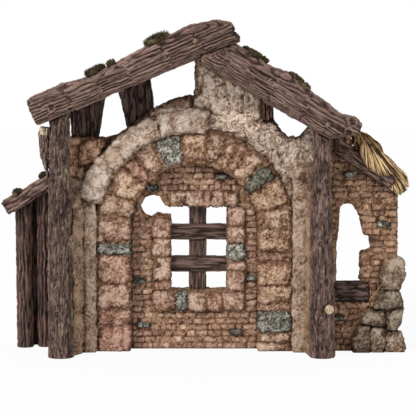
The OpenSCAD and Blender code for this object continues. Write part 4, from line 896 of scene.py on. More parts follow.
class Finish:
    """A material in the making."""

    def __init__(self, name):
        self.material = bpy.data.materials.new(name)
        self.material.use_nodes = True
        self.tree = self.material.node_tree
        self.tree.nodes.clear()

    def node(self, kind, settings=None, sockets=None, output=0):
        """Adds a node: its settings first, a ramp's stops among them, then the values or links of its
        sockets. Gives back one of its outputs."""
        made = self.tree.nodes.new(kind)
        made.location = (180 * (len(self.tree.nodes) % 12), -220 * (len(self.tree.nodes) // 12))
        for key, value in (settings or {}).items():
            if key == "stops":
                while len(made.color_ramp.elements) < len(value):
                    made.color_ramp.elements.new(0.5)
                for element, (place, paint) in zip(made.color_ramp.elements, value):
                    element.position = place
                    element.color = (*paint, 1)
            else:
                setattr(made, key, value)
        for key, value in (sockets or {}).items():
            if isinstance(value, Strength):
                self.tree.links.new(value.socket, made.inputs[key])
            else:
                made.inputs[key].default_value = value
        return Strength(self, made.outputs[output])

    def attribute(self, name, output="Fac"):
        """One of the values that the mesh carries."""
        return self.node("ShaderNodeAttribute", {"attribute_name": name}, {}, output)

    def noise(self, vector, scale, detail=3.0, rough=0.55):
        """Noise from 0 to 1 on object or grain places in metres."""
        return self.node("ShaderNodeTexNoise", {}, {"Vector": vector, "Scale": scale, "Detail": detail,
                                                    "Roughness": rough})

    def creases(self, vector, scale, width, detail=2.0):
        """Thin winding lines, 1 on a line and 0 beside it, where noise crosses its middle."""
        away = abs(self.noise(vector, scale, detail, 0.5) - 0.5)
        return self.node("ShaderNodeMapRange", {"interpolation_type": "SMOOTHSTEP"},
                         {"Value": away, "From Min": 0.0, "From Max": width, "To Min": 1.0, "To Max": 0.0})

    def tone(self, tones, value):
        """Colour to multiply a paint with, picked from tones that may pass 1: a ramp of shares of the
        largest, scaled up again."""
        most = max(max(paint) for _, paint in tones)
        stops = [(place, tuple(part / most for part in paint)) for place, paint in tones]
        picked = self.node("ShaderNodeValToRGB", {"stops": stops}, {"Fac": value})
        return self.node("ShaderNodeVectorMath", {"operation": "SCALE"}, {0: picked, "Scale": most})

    def mixed(self, factor, first, second, blend="MIX"):
        """Mixes two colours."""
        return self.node("ShaderNodeMix", {"data_type": "RGBA", "blend_type": blend},
                         {0: factor, 6: first, 7: second}, 2)

    def shader(self, colour_link, rough, bump_height, bump_depth, bump_strength=0.5):
        """Ends the material in one Principled shader with a fine bump."""
        bump = self.node("ShaderNodeBump", {}, {"Height": bump_height, "Strength": bump_strength,
                                                "Distance": bump_depth})
        surface = self.node("ShaderNodeBsdfPrincipled", {}, {"Base Color": colour_link, "Roughness": rough,
                                                             "Normal": bump, "Specular IOR Level": 0.3})
        out = self.tree.nodes.new("ShaderNodeOutputMaterial")
        self.tree.links.new(surface.socket, out.inputs["Surface"])
        return self.material


def paints(group, stem):
    """The three paints of one finish, as tuples."""
    return [tuple(getattr(group, f"{stem}_{part}")) for part in ("hollow", "body", "ridge")]


def toned(paint, *times):
    """A paint with each channel multiplied."""
    return tuple(min(1.0, p * t) for p, t in zip(paint, times))


def masonry_finish(name, group, stem, tones, grit=420, stain=0.28, crack=0.3, crack_scale=150):
    """Dry-brushed stone: dark wash in the hollows and in fine winding cracks, body on the faces and pale
    paint on the ridges, by the relief; the tint picks one of several tones; stains and grit run over all."""
    hollow, body, ridge = paints(group, stem)
    f = Finish(name)
    place = f.node("ShaderNodeTexCoord", {}, {}, "Object")
    relief, tint = f.attribute("relief"), f.attribute("tint")
    cloud, speck, dust = f.noise(place, 70, 3), f.noise(place, grit, 3, 0.6), f.noise(place, grit * 2.6, 2)
    fleck, line = f.noise(place, 230, 2, 0.5), f.creases(place, crack_scale, 0.05)
    wisp = f.creases(place, 240, 0.08, 1)
    level = relief * 1.05 + (cloud - 0.5) * 0.3 + (speck - 0.5) * 0.4
    level = level + (fleck - 0.5) * 0.5 + (dust - 0.5) * 0.2 - line * crack + wisp * 0.2
    deep = toned(hollow, 0.55, 0.5, 0.46)
    paint = f.node("ShaderNodeValToRGB",
                   {"stops": [(0.02, deep), (0.22, hollow), (0.5, body), (0.84, ridge)]},
                   {"Fac": level})
    paint = f.mixed(1.0, paint, f.tone(tones, tint), "MULTIPLY")
    blot = f.noise(place, 34, 4, 0.6)
    wash = f.node("ShaderNodeMapRange", {}, {"Value": blot, "From Min": 0.5, "From Max": 0.68, "To Min": 0.0,
                                             "To Max": stain})
    paint = f.mixed(wash, paint, (*toned(body, 0.66, 0.55, 0.45), 1))
    return f.shader(paint, 0.93 - relief * 0.16,
                    speck * 0.5 + dust * 0.3 + fleck * 0.5 - line * 0.5 + wisp * 0.4,
                    0.0014, 0.7)


def timber_finish(name, group, stem, patches=None, cut_paints=None, patch_share=0.5, crack=0.34, hair=0.2,
                  lift=0.1):
    """Bark or old wood: streaks and dark cracks along the grain over the relief, patches of another paint,
    and pale cut faces where the tint is 1."""
    hollow, body, ridge = paints(group, stem)
    f = Finish(name)
    place = f.node("ShaderNodeTexCoord", {}, {}, "Object")
    grain = f.attribute("grain", "Vector")
    relief, tint = f.attribute("relief"), f.attribute("tint")
    streak = 260
    line, fine = f.noise(grain, streak, 4, 0.6), f.noise(grain, streak * 1.9, 3)
    speck = f.noise(place, 520, 3)
    split, thread = f.creases(grain, streak * 0.8, 0.045, 2), f.creases(grain, streak * 1.5, 0.04, 1)
    level = relief * 1.0 + (line - 0.5) * 0.35 + (fine - 0.5) * 0.75 + (speck - 0.5) * 0.4 + lift
    level = level - split * crack - thread * hair
    paint = f.node("ShaderNodeValToRGB", {"stops": [(0.12, hollow), (0.46, body), (0.9, ridge)]},
                   {"Fac": level})
    if patches:
        mask = f.node("ShaderNodeMapRange", {}, {"Value": f.noise(place, 30, 4, 0.6), "From Min": patch_share,
                                                 "From Max": patch_share + 0.1, "To Min": 0.0, "To Max": 1.0})
        other = f.node("ShaderNodeValToRGB",
                       {"stops": [(0.15, hollow), (0.42, patches[0]), (0.85, patches[1])]},
                       {"Fac": level})
        paint = f.mixed(mask, paint, other)
    if cut_paints:
        rings = f.node("ShaderNodeValToRGB", {"stops": [(0.2, cut_paints[0]), (0.5, cut_paints[1]),
                                                        (0.85, cut_paints[2])]}, {"Fac": level})
        paint = f.mixed(tint, paint, rings)
    return f.shader(paint, 0.9 - relief * 0.18,
                    line * 0.3 + fine * 0.5 + speck * 0.2 - split * 0.6 - thread * 0.4,
                    0.002, 0.8)


def straw_finish(name, group, stem):
    """Straw or moss: each strand's own level, with fine streaks and specks."""
    hollow, body, ridge = paints(group, stem)
    f = Finish(name)
    place = f.node("ShaderNodeTexCoord", {}, {}, "Object")
    relief = f.attribute("relief")
    speck, cloud = f.noise(place, 600, 3), f.noise(place, 80, 3)
    level = relief * 0.95 + (speck - 0.5) * 0.5 + (cloud - 0.5) * 0.35
    paint = f.node("ShaderNodeValToRGB", {"stops": [(0.12, hollow), (0.5, body), (0.9, ridge)]},
                   {"Fac": level})
    return f.shader(paint, 0.75, speck, 0.0005)


EVEN = [(0.0, (0.9, 0.88, 0.86)), (0.5, (1.0, 1.0, 1.0)), (1.0, (1.06, 1.02, 0.92))]
ARCH_TONES = [(0.0, (0.84, 0.68, 0.68)), (0.3, (0.94, 0.84, 0.84)), (0.5, (1.0, 1.0, 1.0)),
              (0.8, (1.1, 1.04, 0.9)),
              (1.0, (0.9, 0.95, 0.86))]
BRICK_TONES = [(0.0, (0.74, 0.66, 0.66)), (0.3, (1.0, 0.92, 0.9)), (0.6, (0.98, 1.0, 1.0)),
               (1.0, (1.3, 1.3, 1.26))]
# Darker tones of the lean-to's bricks: partly their browner colour, partly painted shade under the thatch and
# by the post
BROWN_AND_SHADED_WING_TONES = [(0.0, (0.56, 0.5, 0.46)), (0.4, (0.78, 0.72, 0.65)), (0.7, (0.93, 0.86, 0.77)),
              (1.0, (1.2, 1.12, 1.0))]
SLATE_TONES = [(0.0, (0.53, 0.5, 0.44)), (0.5, (1.0, 1.0, 0.98)), (1.0, (1.45, 1.4, 1.34))]


# Operators

def stone_row(node, sizes, order, tints=(), edge=4.5, step=None, high_edge=0.0, ragged=0.0, wash_and_shade_rim=2.4):
    """Shells of a node's stones, each from its own outline, sorted by a measure of its middle and given its
    own tint and its own place in the noise."""
    rows = sorted(solids(node), key=lambda t: order(t.reshape(-1, 3).mean(0)))
    shells = []
    for number, triangles in enumerate(rows):
        y = triangles[:, :, 1]
        shell = slab(outline(triangles, 1, True), y.min(), y.max(), 1,
                     (step or sizes.stone_grid) / METRE, edge,
                     high_edge, offset=number * 37.3, side_give=0.8, ragged=ragged, wash_and_shade_rim=wash_and_shade_rim)
        shell.tint[:] = tints[number % len(tints)] if len(tints) else (number * 0.618034) % 1
        shells.append(shell)
    return shells


def against_wall(level):
    """Tells which points lie on a seat across the depth, so that they stay flat."""
    return lambda points, normals: (np.abs(points[:, 1] - level) < 0.4) & (normals[:, 1] > 0.5)


def left_to_right(middle):
    """Orders stones along the arch, from the left spring to the right."""
    return -math.atan2(middle[2] - SPRING_HEIGHT, middle[0])


def feet_first(middle):
    """Orders stones of the bottom row from left to right, and then the others from the floor up."""
    return middle[0] if middle[2] < 36 else 1000 + middle[2]


def low_to_high(middle):
    """Orders stones from the floor up."""
    return middle[2] + middle[0] * 0.01


class StableOperator:
    """What the operators share."""

    bl_options = {"REGISTER", "UNDO"}

    def execute(self, context):
        """Builds the pieces with the scene's settings."""
        scene = context.scene
        self.build(scene.stable_masonry, scene.stable_timber, scene.stable_sizes)
        return {"FINISHED"}


class STABLE_OT_backing_walls(StableOperator, Operator):
    """Wall slabs behind the masonry, with coursed stone on their backs and mortar beds in front"""

    bl_idname = "stable.backing_walls"
    bl_label = "Backing walls"

    def build(self, masonry, timber, sizes):
        """Takes each slab's outline with its openings from the flat back of its solid."""
        tones = [(0.0, (0.66, 0.6, 0.56)), (0.25, (0.86, 0.82, 0.78)), (0.45, (1.0, 0.96, 0.92)),
                 (0.7, (1.12, 1.02, 0.9)), (0.8, (0.84, 0.88, 0.84)), (0.9, (1.25, 1.2, 1.14)),
                 (1.0, (1.3, 1.5, 1.7))]
        finish = masonry_finish("backing_render", masonry, "backing", tones, grit=300, stain=0.55,
                                crack=0.36, crack_scale=90)
        turn = np.linspace(0, np.pi, 61)
        half = np.stack([np.cos(turn), np.sin(turn)], 1)
        spring = [0, SPRING_HEIGHT]
        horseshoe = np.concatenate([half * RING_OUTER + spring, [[-RING_OUTER, 0], [-RING_INNER, 0]],
                                    half[::-1] * RING_INNER + spring, [[RING_INNER, 0], [RING_OUTER, 0]]])
        recess = np.concatenate([half * RECESS_RADIUS + spring, [[-RECESS_RADIUS, 0], [RECESS_RADIUS, 0]]])
        frame_stones = np.array([[-65, 65], [79, 65], [79, 229], [65, 229], [65, 253], [-36, 253], [-36, 210],
                                 [-65, 210]], float)
        band = turn[(turn > math.pi * 0.46) & (turn < math.pi * 0.93)]
        arc = np.stack([np.cos(band), np.sin(band)], 1)
        outer = np.concatenate([arc * BAND_OUTER + spring, arc[::-1] * BAND_INNER + spring])
        shoulder = np.array([[-205, 239], [-150, 239], [-128, 300], [-100, 345], [-205, 345]], float)
        beds = {"wall_core": ((horseshoe, -40.5, 0.2), (recess, -17.4, 0.42), (frame_stones, -23.5, 0.26),
                              (outer, -50, 1.0), (shoulder, -23.5, 0.4)),
                "wing_wall": ((np.array([[206, 0], [323, 0], [323, 340], [206, 340]], float), -37.2, 0.4),)}
        for seed, (node, level) in enumerate((("wall_core", 10.6), ("wing_wall", -8.0))):
            triangles = node_triangles(node)
            y = triangles[:, :, 1]
            walls = section(triangles, 1, level)
            shell = slab(walls, y.min(), y.max(), 1, sizes.wall_grid / METRE, 0.8, 2.5, side_give=0.7,
                         sides_clean_and_lit=True)
            shell.give[shell.points[:, 1] < y.min() + 1.5] = 0.3
            left = triangles[:, :, 0].min()
            level, tint = rubble_wall(shell, left, 20 + seed)
            shells = [shell]
            for number, (loop, front, shade) in enumerate(beds[node]):
                bed = slab([loop], front, y.min() + 1, 1, 2.9, 1.0, side_give=0.6,
                           offset=number * 11.3, within=walls)
                bed.clean = np.maximum(bed.clean, 0.85)
                shells.append(bed)
                soft = np.clip(bedded(bed, 25 + number) + 0.2 * (shade == 1), 0, 1)
                level, tint = np.concatenate([level, soft]), np.concatenate([tint, np.full(len(soft), shade)])
            dress(node, shells, lambda s, level=level, tint=tint: (level, tint), sizes.wall_relief, finish)


class STABLE_OT_bricks(StableOperator, Operator):
    """Courses of small bricks and the slates among them"""

    bl_idname = "stable.bricks"
    bl_label = "Bricks and slates"

    def build(self, masonry, timber, sizes):
        """Rounds each brick, and gives it its own tint and its own depth."""
        # The lean-to's bricks take the darker tones, partly painted shade
        finishes = (masonry_finish("clay_brick", masonry, "brick", BRICK_TONES, 520, 0.2, 0.2),
                    masonry_finish("lean_to_brick", masonry, "brick", BROWN_AND_SHADED_WING_TONES, 520, 0.3, 0.2))
        slate = masonry_finish("grey_slate", masonry, "slate", SLATE_TONES, grit=520, stain=0.15, crack=0.35)
        for seed, node in enumerate(("wall_bricks", "wing_bricks")):
            shells = stone_row(node, sizes, low_to_high, edge=2.4, step=sizes.brick_grid, ragged=1.6)
            seat = shells[0].points[:, 1].max()
            for shell in shells:
                front = shell.points[:, 1] < seat - 3
                shell.points[front, 1] += 2.0 * ((shell.tint[0] * 7.31) % 1)
            dress(node, shells, lambda s, seed=seed: pitted(s, 30 + seed), sizes.brick_relief, finishes[seed],
                  against_wall(seat), 0.1)
        for seed, node in enumerate(("wall_slates", "wing_slates")):
            shells = stone_row(node, sizes, low_to_high, edge=1.6, ragged=1.5)
            dress(node, shells, lambda s, seed=seed: layered(s, 40 + seed), 0.0022, slate,
                  against_wall(shells[0].points[:, 1].max()), 0.3)


class STABLE_OT_arch(StableOperator, Operator):
    """Hewn stones of the arch ring and its jambs"""

    bl_idname = "stable.arch"
    bl_label = "Arch and jambs"

    def build(self, masonry, timber, sizes):
        """Tan, pink and ochre stones with slates between them."""
        stone = masonry_finish("arch_stone", masonry, "arch", ARCH_TONES)
        slate = masonry_finish("ring_slate", masonry, "slate", SLATE_TONES, grit=420, stain=0.15, crack=0.4)
        rows = (("arch_voussoirs", left_to_right,
                 (0.56, 0.66, 0.1, 0.58, 0.74, 0.52, 0.66, 0.14, 0.6, 0.72, 0.56), 9.0),
                ("left_jamb_stones", low_to_high, (0.12, 0.28, 0.36, 0.3, 0.38), 9.0),
                ("right_jamb_stones", low_to_high, (0.6, 0.56, 0.34, 0.66, 0.76, 0.26, 0.66), 9.0),
                ("window_head_stones", low_to_high, (0.45, 0.5, 0.2, 0.42, 0.5), 3.5),
                ("window_jamb_stones", low_to_high, (0.15, 0.38, 0.5, 0.34, 0.42, 0.5, 0.36, 0.3), 3.5),
                ("window_sill_stones", low_to_high, (0.36, 0.5, 0.28, 0.4), 3.5),
                ("eave_stones", low_to_high, (0.1, 0.45), 3.0))
        for seed, (node, order, tints, edge) in enumerate(rows):
            shells = stone_row(node, sizes, order, tints, edge, ragged=3.2 if edge > 4 else 2.2,
                               wash_and_shade_rim=6.0 if edge > 4 else 4.2)
            depth = sizes.stone_relief * (1.25 if edge > 4 else 0.8)
            dress(node, shells, lambda s, seed=seed: hewn(s, 50 + seed), depth, stone,
                  against_wall(shells[0].points[:, 1].max()), 0.3)
        slates = (("arch_slates", (0.0, 0.5, 0.84)), ("jamb_slates", (0.45, 0.5, 0.55)),
                  ("window_slates", (0.5, 0.6, 0.4)))
        for seed, (node, tints) in enumerate(slates):
            shells = stone_row(node, sizes, low_to_high, tints, edge=4.5, ragged=2.2)

            def face(s, seed=seed):
                return 0.45 * layered(s, 60 + seed) + 0.55 * hewn(s, 66 + seed, 9, 6)

            dress(node, shells, face, 0.0075, slate, against_wall(shells[0].points[:, 1].max()), 0.4)


class STABLE_OT_outer_band(StableOperator, Operator):
    """Pale stones round the arch, the red ledge over them and the stones of the left shoulder"""

    bl_idname = "stable.outer_band"
    bl_label = "Outer band"

    def build(self, masonry, timber, sizes):
        """Grows the pale stones and sets the right ones back; the ledge is dark away from the arch."""
        pale = masonry_finish("pale_stone", masonry, "pale", EVEN, stain=0.14, crack=0.24)
        ledge = masonry_finish("red_ledge", masonry, "pale",
                               [(0.0, (0.5, 0.39, 0.36)), (1.0, (0.96, 0.95, 0.94))])
        shoulder = masonry_finish("shoulder_stone", masonry, "shoulder", ARCH_TONES)
        shells = stone_row("outer_band_stones", sizes, left_to_right, (0.5, 0.6, 0.45), 7.0,
                           ragged=3.0, wash_and_shade_rim=2.6)
        for shell in shells:
            out = (shell.points - shell.points.mean(0)) * [1, 0, 1]
            shell.points += out / np.maximum(np.linalg.norm(out, axis=1, keepdims=True), 1) * 2.2
            front = shell.points[:, 1] < -30
            shell.points[front, 1] += 19 * smooth(-8, 24, shell.points[front, 0])
        dress("outer_band_stones", shells, lambda s: hewn(s, 70, 18, 10), 0.008, pale,
              against_wall(WALL_FRONT), 0.4)
        shells = stone_row("band_ledge", sizes, low_to_high, (0.5,), 5.0, ragged=3.0)
        for shell in shells:
            out = (np.hypot(shell.points[:, 0], shell.points[:, 2] - SPRING_HEIGHT)
                   + 4 * noise(shell.points / 9, 74))
            shell.tint = 1 - smooth(192, 198, out)
        dress("band_ledge", shells, lambda s: hewn(s, 71, 12, 7), 0.007, ledge, against_wall(WALL_FRONT), 0.5)
        shells = stone_row("left_shoulder_stones", sizes, low_to_high,
                           (0.6, 0.5, 0.7, 0.45, 0.6, 0.5, 0.64), 6.0, ragged=2.6, wash_and_shade_rim=4.0)
        dress("left_shoulder_stones", shells, lambda s: hewn(s, 72), 0.006, shoulder,
              against_wall(WALL_FRONT), 0.3)


class STABLE_OT_render(StableOperator, Operator):
    """Lime render of the gable and the broken boards at its edge"""

    bl_idname = "stable.render"
    bl_label = "Gable render"

    def build(self, masonry, timber, sizes):
        """Moves the left edge out below the gable's head; the boards have upright grain."""
        # The tones above 1 paint the upper render lighter, as painted light
        tones = [(0.0, (0.86, 0.8, 0.74)), (0.4, (0.95, 0.93, 0.9)), (1.0, (1.5, 1.47, 1.43))]
        lime = masonry_finish("lime_render", masonry, "render", tones, stain=0.2, crack=0.34, crack_scale=110)
        dark = masonry_finish("gable_board_paint", masonry, "ledge", EVEN)
        shells = stone_row("gable_render", sizes, low_to_high, (0.5,), 6.0, ragged=4.5, wash_and_shade_rim=8.0)
        shell = shells[0]
        x, z = shell.points[:, 0], shell.points[:, 2]
        shell.points[:, 0] -= 9 * (1 - smooth(4, 34, x)) * (1 - smooth(400, 412, z))
        # Painted light: the render is made lighter towards the gable's head, where the roof casts its shadow;
        # a patch on its right is made darker
        tint = 0.4 + 0.52 * smooth(320, 385, z) - 0.14 * smooth(96, 120, x) * smooth(340, 380, z)
        tint = np.clip(tint + 0.16 * fractal(shell.at / 18, 82, 2), 0, 1)
        level = plates(shell, 80)
        dress("gable_render", shells, lambda s: (level, tint), sizes.render_relief * 1.5, lime,
              against_wall(WALL_FRONT), 0.4)
        shells = stone_row("gable_boards", sizes, low_to_high, (0.0,), 1.2)
        for shell in shells:
            shell.at = shell.at * [1, 1, 0.15]
        dress("gable_boards", shells, lambda s: bark(s, 81, 4), 0.0025, dark, against_wall(WALL_FRONT))


class STABLE_OT_piers(StableOperator, Operator):
    """Rendered piers beside the arch, stepped round the posts"""

    bl_idname = "stable.piers"
    bl_label = "Piers"

    def build(self, masonry, timber, sizes):
        """Carries each pier's plan up to its sloping head, whose height over the plan is read from the
        solid's upper corners. A pale strip runs up beside the arch, and a darker one beside the post, which
        is painted shade of the post. Both piers grow lighter towards their heads, and the right one is dark
        at its head beside its post."""
        tones = [(0.0, (0.6, 0.53, 0.48)), (0.3, (0.84, 0.74, 0.64)), (0.6, (1.0, 0.98, 0.96)),
                 (1.0, (1.3, 1.32, 1.34))]
        finish = masonry_finish("pier_render", masonry, "pier", tones)
        for seed, node in enumerate(("left_pilaster", "right_pilaster")):
            triangles = node_triangles(node)
            corners = triangles.reshape(-1, 3)
            upper = np.unique(np.round(corners[corners[:, 2] > 40], 2), axis=0)
            plane = np.linalg.lstsq(np.insert(upper[:, :2], 2, 1, 1), upper[:, 2], rcond=None)[0]

            def head(flat, plane=plane, rounded=1 - seed):
                x = np.abs(flat[:, 0])
                strip = np.where(x > 175, (x - 187) / 12, (x - 163) / 12)
                fall = rounded * (11 * np.clip(strip**2, 0, 1) + 8 * (x < 175)) * (flat[:, 1] < -40)
                return flat @ plane[:2] + plane[2] + 34 * smooth(-70, -30, flat[:, 1]) - fall

            shell = slab(outline(triangles, 2, False), 0.0, head, 2,
                         sizes.stone_grid * 1.15 / METRE, 0.0, 9.0, side_give=1.0, sides_clean_and_lit=True)
            level = hewn(shell, 90 + seed, 20, 10)
            x, z = shell.points[:, 0], shell.points[:, 2]
            # Painted shade: the strip beside each post is darker than the one beside the arch
            inner = 1 - smooth(169, 177, np.abs(x) + 3 * noise(shell.at * [1, 1, 0.3] / 8, 94))
            tint = 0.25 + 0.3 * inner + z / 900 + 0.25 * fractal(shell.at * [1, 1, 0.5] / 14, 93, 2)
            tint = tint + 0.04 * seed - 0.55 * seed * smooth(236, 250, z) * smooth(164, 172, x)
            tint = tint - 0.16 * seed * (1 - inner)
            groove = np.abs(np.abs(x) + 2.2 * noise(shell.at * [1, 1, 0.35] / 9, 95) - 175)
            level = level - 0.3 * (1 - seed) * (1 - smooth(0.3, 2.2, groove))
            tint = np.clip(tint, 0, 1)
            dress(node, [shell], lambda s, level=level, tint=tint: (level, tint), 0.0065, finish,
                  against_wall(WALL_FRONT), 0.5)


class STABLE_OT_lattice(StableOperator, Operator):
    """Lattice of twigs in the window"""

    bl_idname = "stable.lattice"
    bl_label = "Window lattice"

    def build(self, masonry, timber, sizes):
        """Follows each bar and the upright along its length."""
        finish = timber_finish("lattice_wood", timber, "lattice", cut_paints=paints(timber, "cut"))
        for seed, node in enumerate(("lattice_upper_bar", "lattice_lower_bar", "lattice_upright")):
            way = UPWARDS if node == "lattice_upright" else RIGHTWARDS
            up = FORWARDS if node == "lattice_upright" else UPWARDS
            shell = limb(node_triangles(node), way, up, 1.5, 64, 16, 2.8, (1.0, 1.0), seed=60 + seed)
            dress(node, [shell], lambda s, seed=seed: bark(s, 100 + seed, 4.4), 0.0032, finish)


class STABLE_OT_posts(StableOperator, Operator):
    """Two posts with plated bark and knots, a branch and a cut stub"""

    bl_idname = "stable.posts"
    bl_label = "Posts"

    def build(self, masonry, timber, sizes):
        """Follows each trunk up its height."""
        grey, purple = (rgb(100, 86, 70), rgb(150, 134, 112)), (rgb(96, 73, 66), rgb(146, 117, 106))
        cut = paints(timber, "cut")
        left = timber_finish("left_post_bark", timber, "post", grey, cut, 0.5)
        right = timber_finish("right_post_bark", timber, "post", purple, cut, 0.5)
        knots = {"left_post": ((-214, 70, 6), (-208, 290, 6)),
                 "right_post": ((196, 180, 6), (206, 120, 7), (199, 60, 5), (203, 255, 6))}
        for node, finish, seed in (("left_post", left, 1), ("right_post", right, 2)):
            shell = limb(node_triangles(node), UPWARDS, FORWARDS, sizes.bark_grid / METRE, 84, 7,
                         2.1, seed=seed)
            level = knotted(shell, bark(shell, 110 + seed, 5.4, (), 0.8, 0.5), knots[node])
            shells = [shell]
            if node == "left_post":
                middle = shell.points[:, 1].min() * 0.62 + shell.points[:, 1].max() * 0.38
                knob = bulb(np.array([-192.0, middle, 178.0]), np.array([11.0, 11.0, 16.0]), 22, 36, 5)
                knob.tint[:] = 0.22
                shells.append(knob)
                level = np.concatenate([level, bark(knob, 117, 5.0, (), 0.4, 0.4)])
            dress(node, shells, lambda s, level=level: level, sizes.post_bark_relief, finish)
        shell = limb(node_triangles("left_post_branch"), (0.08, 0, 1), FORWARDS, 1.6, 40, 4, 2.2,
                     (0, 1), 3, cut=(0, 1))
        top = shell.points[:, 2].max()
        sawn = shell.points[:, 2] > top - 13 + (shell.points[:, 1] - shell.points[:, 1].min()) * 0.7
        shell.tint[sawn] = 1.0
        dress("left_post_branch", [shell], lambda s: bark(s, 113, 5), 0.0025, left)
        shell = limb(node_triangles("right_post_stub"), FORWARDS, UPWARDS, 1.2, 36, 3, 2.0,
                     (0, 0.5), 4, cut=(0, 1))
        dress("right_post_stub", [shell], lambda s: bark(s, 114, 4), 0.0012, right)
        plain = timber_finish("pin_wood", timber, "cut")
        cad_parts["post_pins"].data.materials.clear()
        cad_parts["post_pins"].data.materials.append(plain)


class STABLE_OT_roof(StableOperator, Operator):
    """Six roof logs in three rows, and the pegs through them"""

    bl_idname = "stable.roof"
    bl_label = "Roof logs"

    def build(self, masonry, timber, sizes):
        """Follows each log up its slope, with frayed ends."""
        finish = timber_finish("roof_bark", timber, "roof",
                               (rgb(106, 82, 70), rgb(154, 128, 112)), None, 0.56,
                               crack=0.12, hair=0.28, lift=0.06)
        sides = (("left", LEFT_PITCH, (1.5, 15.0), (-22, 28.8, 77, 143, 197), ((-218, 393, 7),)),
                 ("right", RIGHT_PITCH, (9.0, 2.0), (-196, -150, -111, -54, -12, 24),
                  ((243, 371, 8), (238, 353, 8))))
        for side, pitch, fray, breaks, knots in sides:
            for row, part in enumerate(("front", "middle", "rear")):
                node = f"{side}_rafter_{part}"
                step = sizes.bark_grid / METRE * (1.0 if row == 0 else 1.35)
                seed = 5 + row + (4 if side == "right" else 0)
                shell = limb(node_triangles(node), *slope(pitch), step, 150 if row == 0 else 110,
                             28, 3.0, fray, seed)
                cracks = np.sort(np.array(breaks) + row * np.array([7, -9, 11, -6, 8, 5][:len(breaks)]))
                level = bark(shell, 120 + seed, 5.4, cracks, ridge=5.3)
                if row == 0:
                    level = knotted(shell, level, knots)
                dress(node, [shell], lambda s, level=level: level, sizes.roof_bark_relief, finish)
        pegs = timber_finish("peg_wood", timber, "peg")
        shells = [limb(t, FORWARDS, UPWARDS, 3.0, 20, 4, 2.0, seed=20 + k)
                  for k, t in enumerate(solids("roof_dowels"))]
        dress("roof_dowels", shells, lambda s: bark(s, 130, 3), 0.0006, pegs)


class STABLE_OT_struts(StableOperator, Operator):
    """Dark stud and brace under the left slope"""

    bl_idname = "stable.struts"
    bl_label = "Stud and brace"

    def build(self, masonry, timber, sizes):
        """Boards with upright grain."""
        finish = timber_finish("strut_wood", timber, "dark")
        for seed, node in enumerate(("left_stud", "left_brace")):
            shells = stone_row(node, sizes, low_to_high, (0.0,), 2.5, high_edge=2.5)
            for shell in shells:
                shell.at = shell.at * [1, 1, 0.14]
                shell.clean = np.maximum(shell.clean, 0.8)
            dress(node, shells, lambda s, seed=seed: bark(s, 140 + seed, 7), 0.0045, finish)


class STABLE_OT_right_lean_to(StableOperator, Operator):
    """Sill log, roof beam and roof boards of the right lean-to, and the rubble at its corner"""

    bl_idname = "stable.right_lean_to"
    bl_label = "Right lean-to"

    def build(self, masonry, timber, sizes):
        """Follows the logs down their slope; the rubble is rounded field stone."""
        dark = timber_finish("sill_wood", timber, "dark", crack=0.5, lift=0.04)
        bark_finish = timber_finish("lean_to_bark", timber, "roof")
        shell = limb(node_triangles("wing_sill_log"), RIGHTWARDS, UPWARDS, 1.7, 64, 6, 2.4, (1.5, 1.5), 30)
        dress("wing_sill_log", [shell], lambda s: bark(s, 150, 6), 0.0035, dark)
        for node, seed, shrink in (("wing_roof_beam", 31, 0), ("wing_roof_boards", 32, -1)):
            shells = [limb(t, *slope(THATCH_PITCH), 1.8, 56, 7, 3.0, (2, 4), seed + k, shrink=shrink)
                      for k, t in enumerate(solids(node))]
            dress(node, shells, lambda s, seed=seed: bark(s, 120 + seed, 6), 0.004, bark_finish)
        stone = masonry_finish("field_stone", masonry, "rubble",
                               [(0.0, (0.62, 0.56, 0.5)), (0.25, (0.78, 0.84, 0.78)), (0.5, (1, 1, 1)),
                                (0.75, (1.06, 1.0, 0.94)), (1.0, (1.15, 1.1, 1.02))])
        shells = stone_row("corner_rubble", sizes, feet_first,
                           (0.06, 0.6, 0.8, 0.22, 0.12, 0.2, 0.72), 12.0, high_edge=3, ragged=2.2)
        for shell in shells:
            shell.clean = np.maximum(shell.clean, 0.75)
            shell.give = np.maximum(shell.give, 0.8)
            out = shell.points - shell.points.mean(0)
            shell.points += out / np.maximum(np.linalg.norm(out, axis=1, keepdims=True), 1) * [3.2, 1.0, 2.6]
        whole = joined(shells)
        # Painted light and shade: each stone is lighter towards its top and darker towards its foot; the same
        # share also moves its points
        lift = np.concatenate([(s.points[:, 2] - s.points[:, 2].min()) / np.ptp(s.points[:, 2])
                               for s in shells])
        level = np.clip(hewn(whole, 152, 20, 10) + 0.42 * (lift - 0.5), 0, 1)
        dress("corner_rubble", shells, lambda s: level, 0.005, stone)


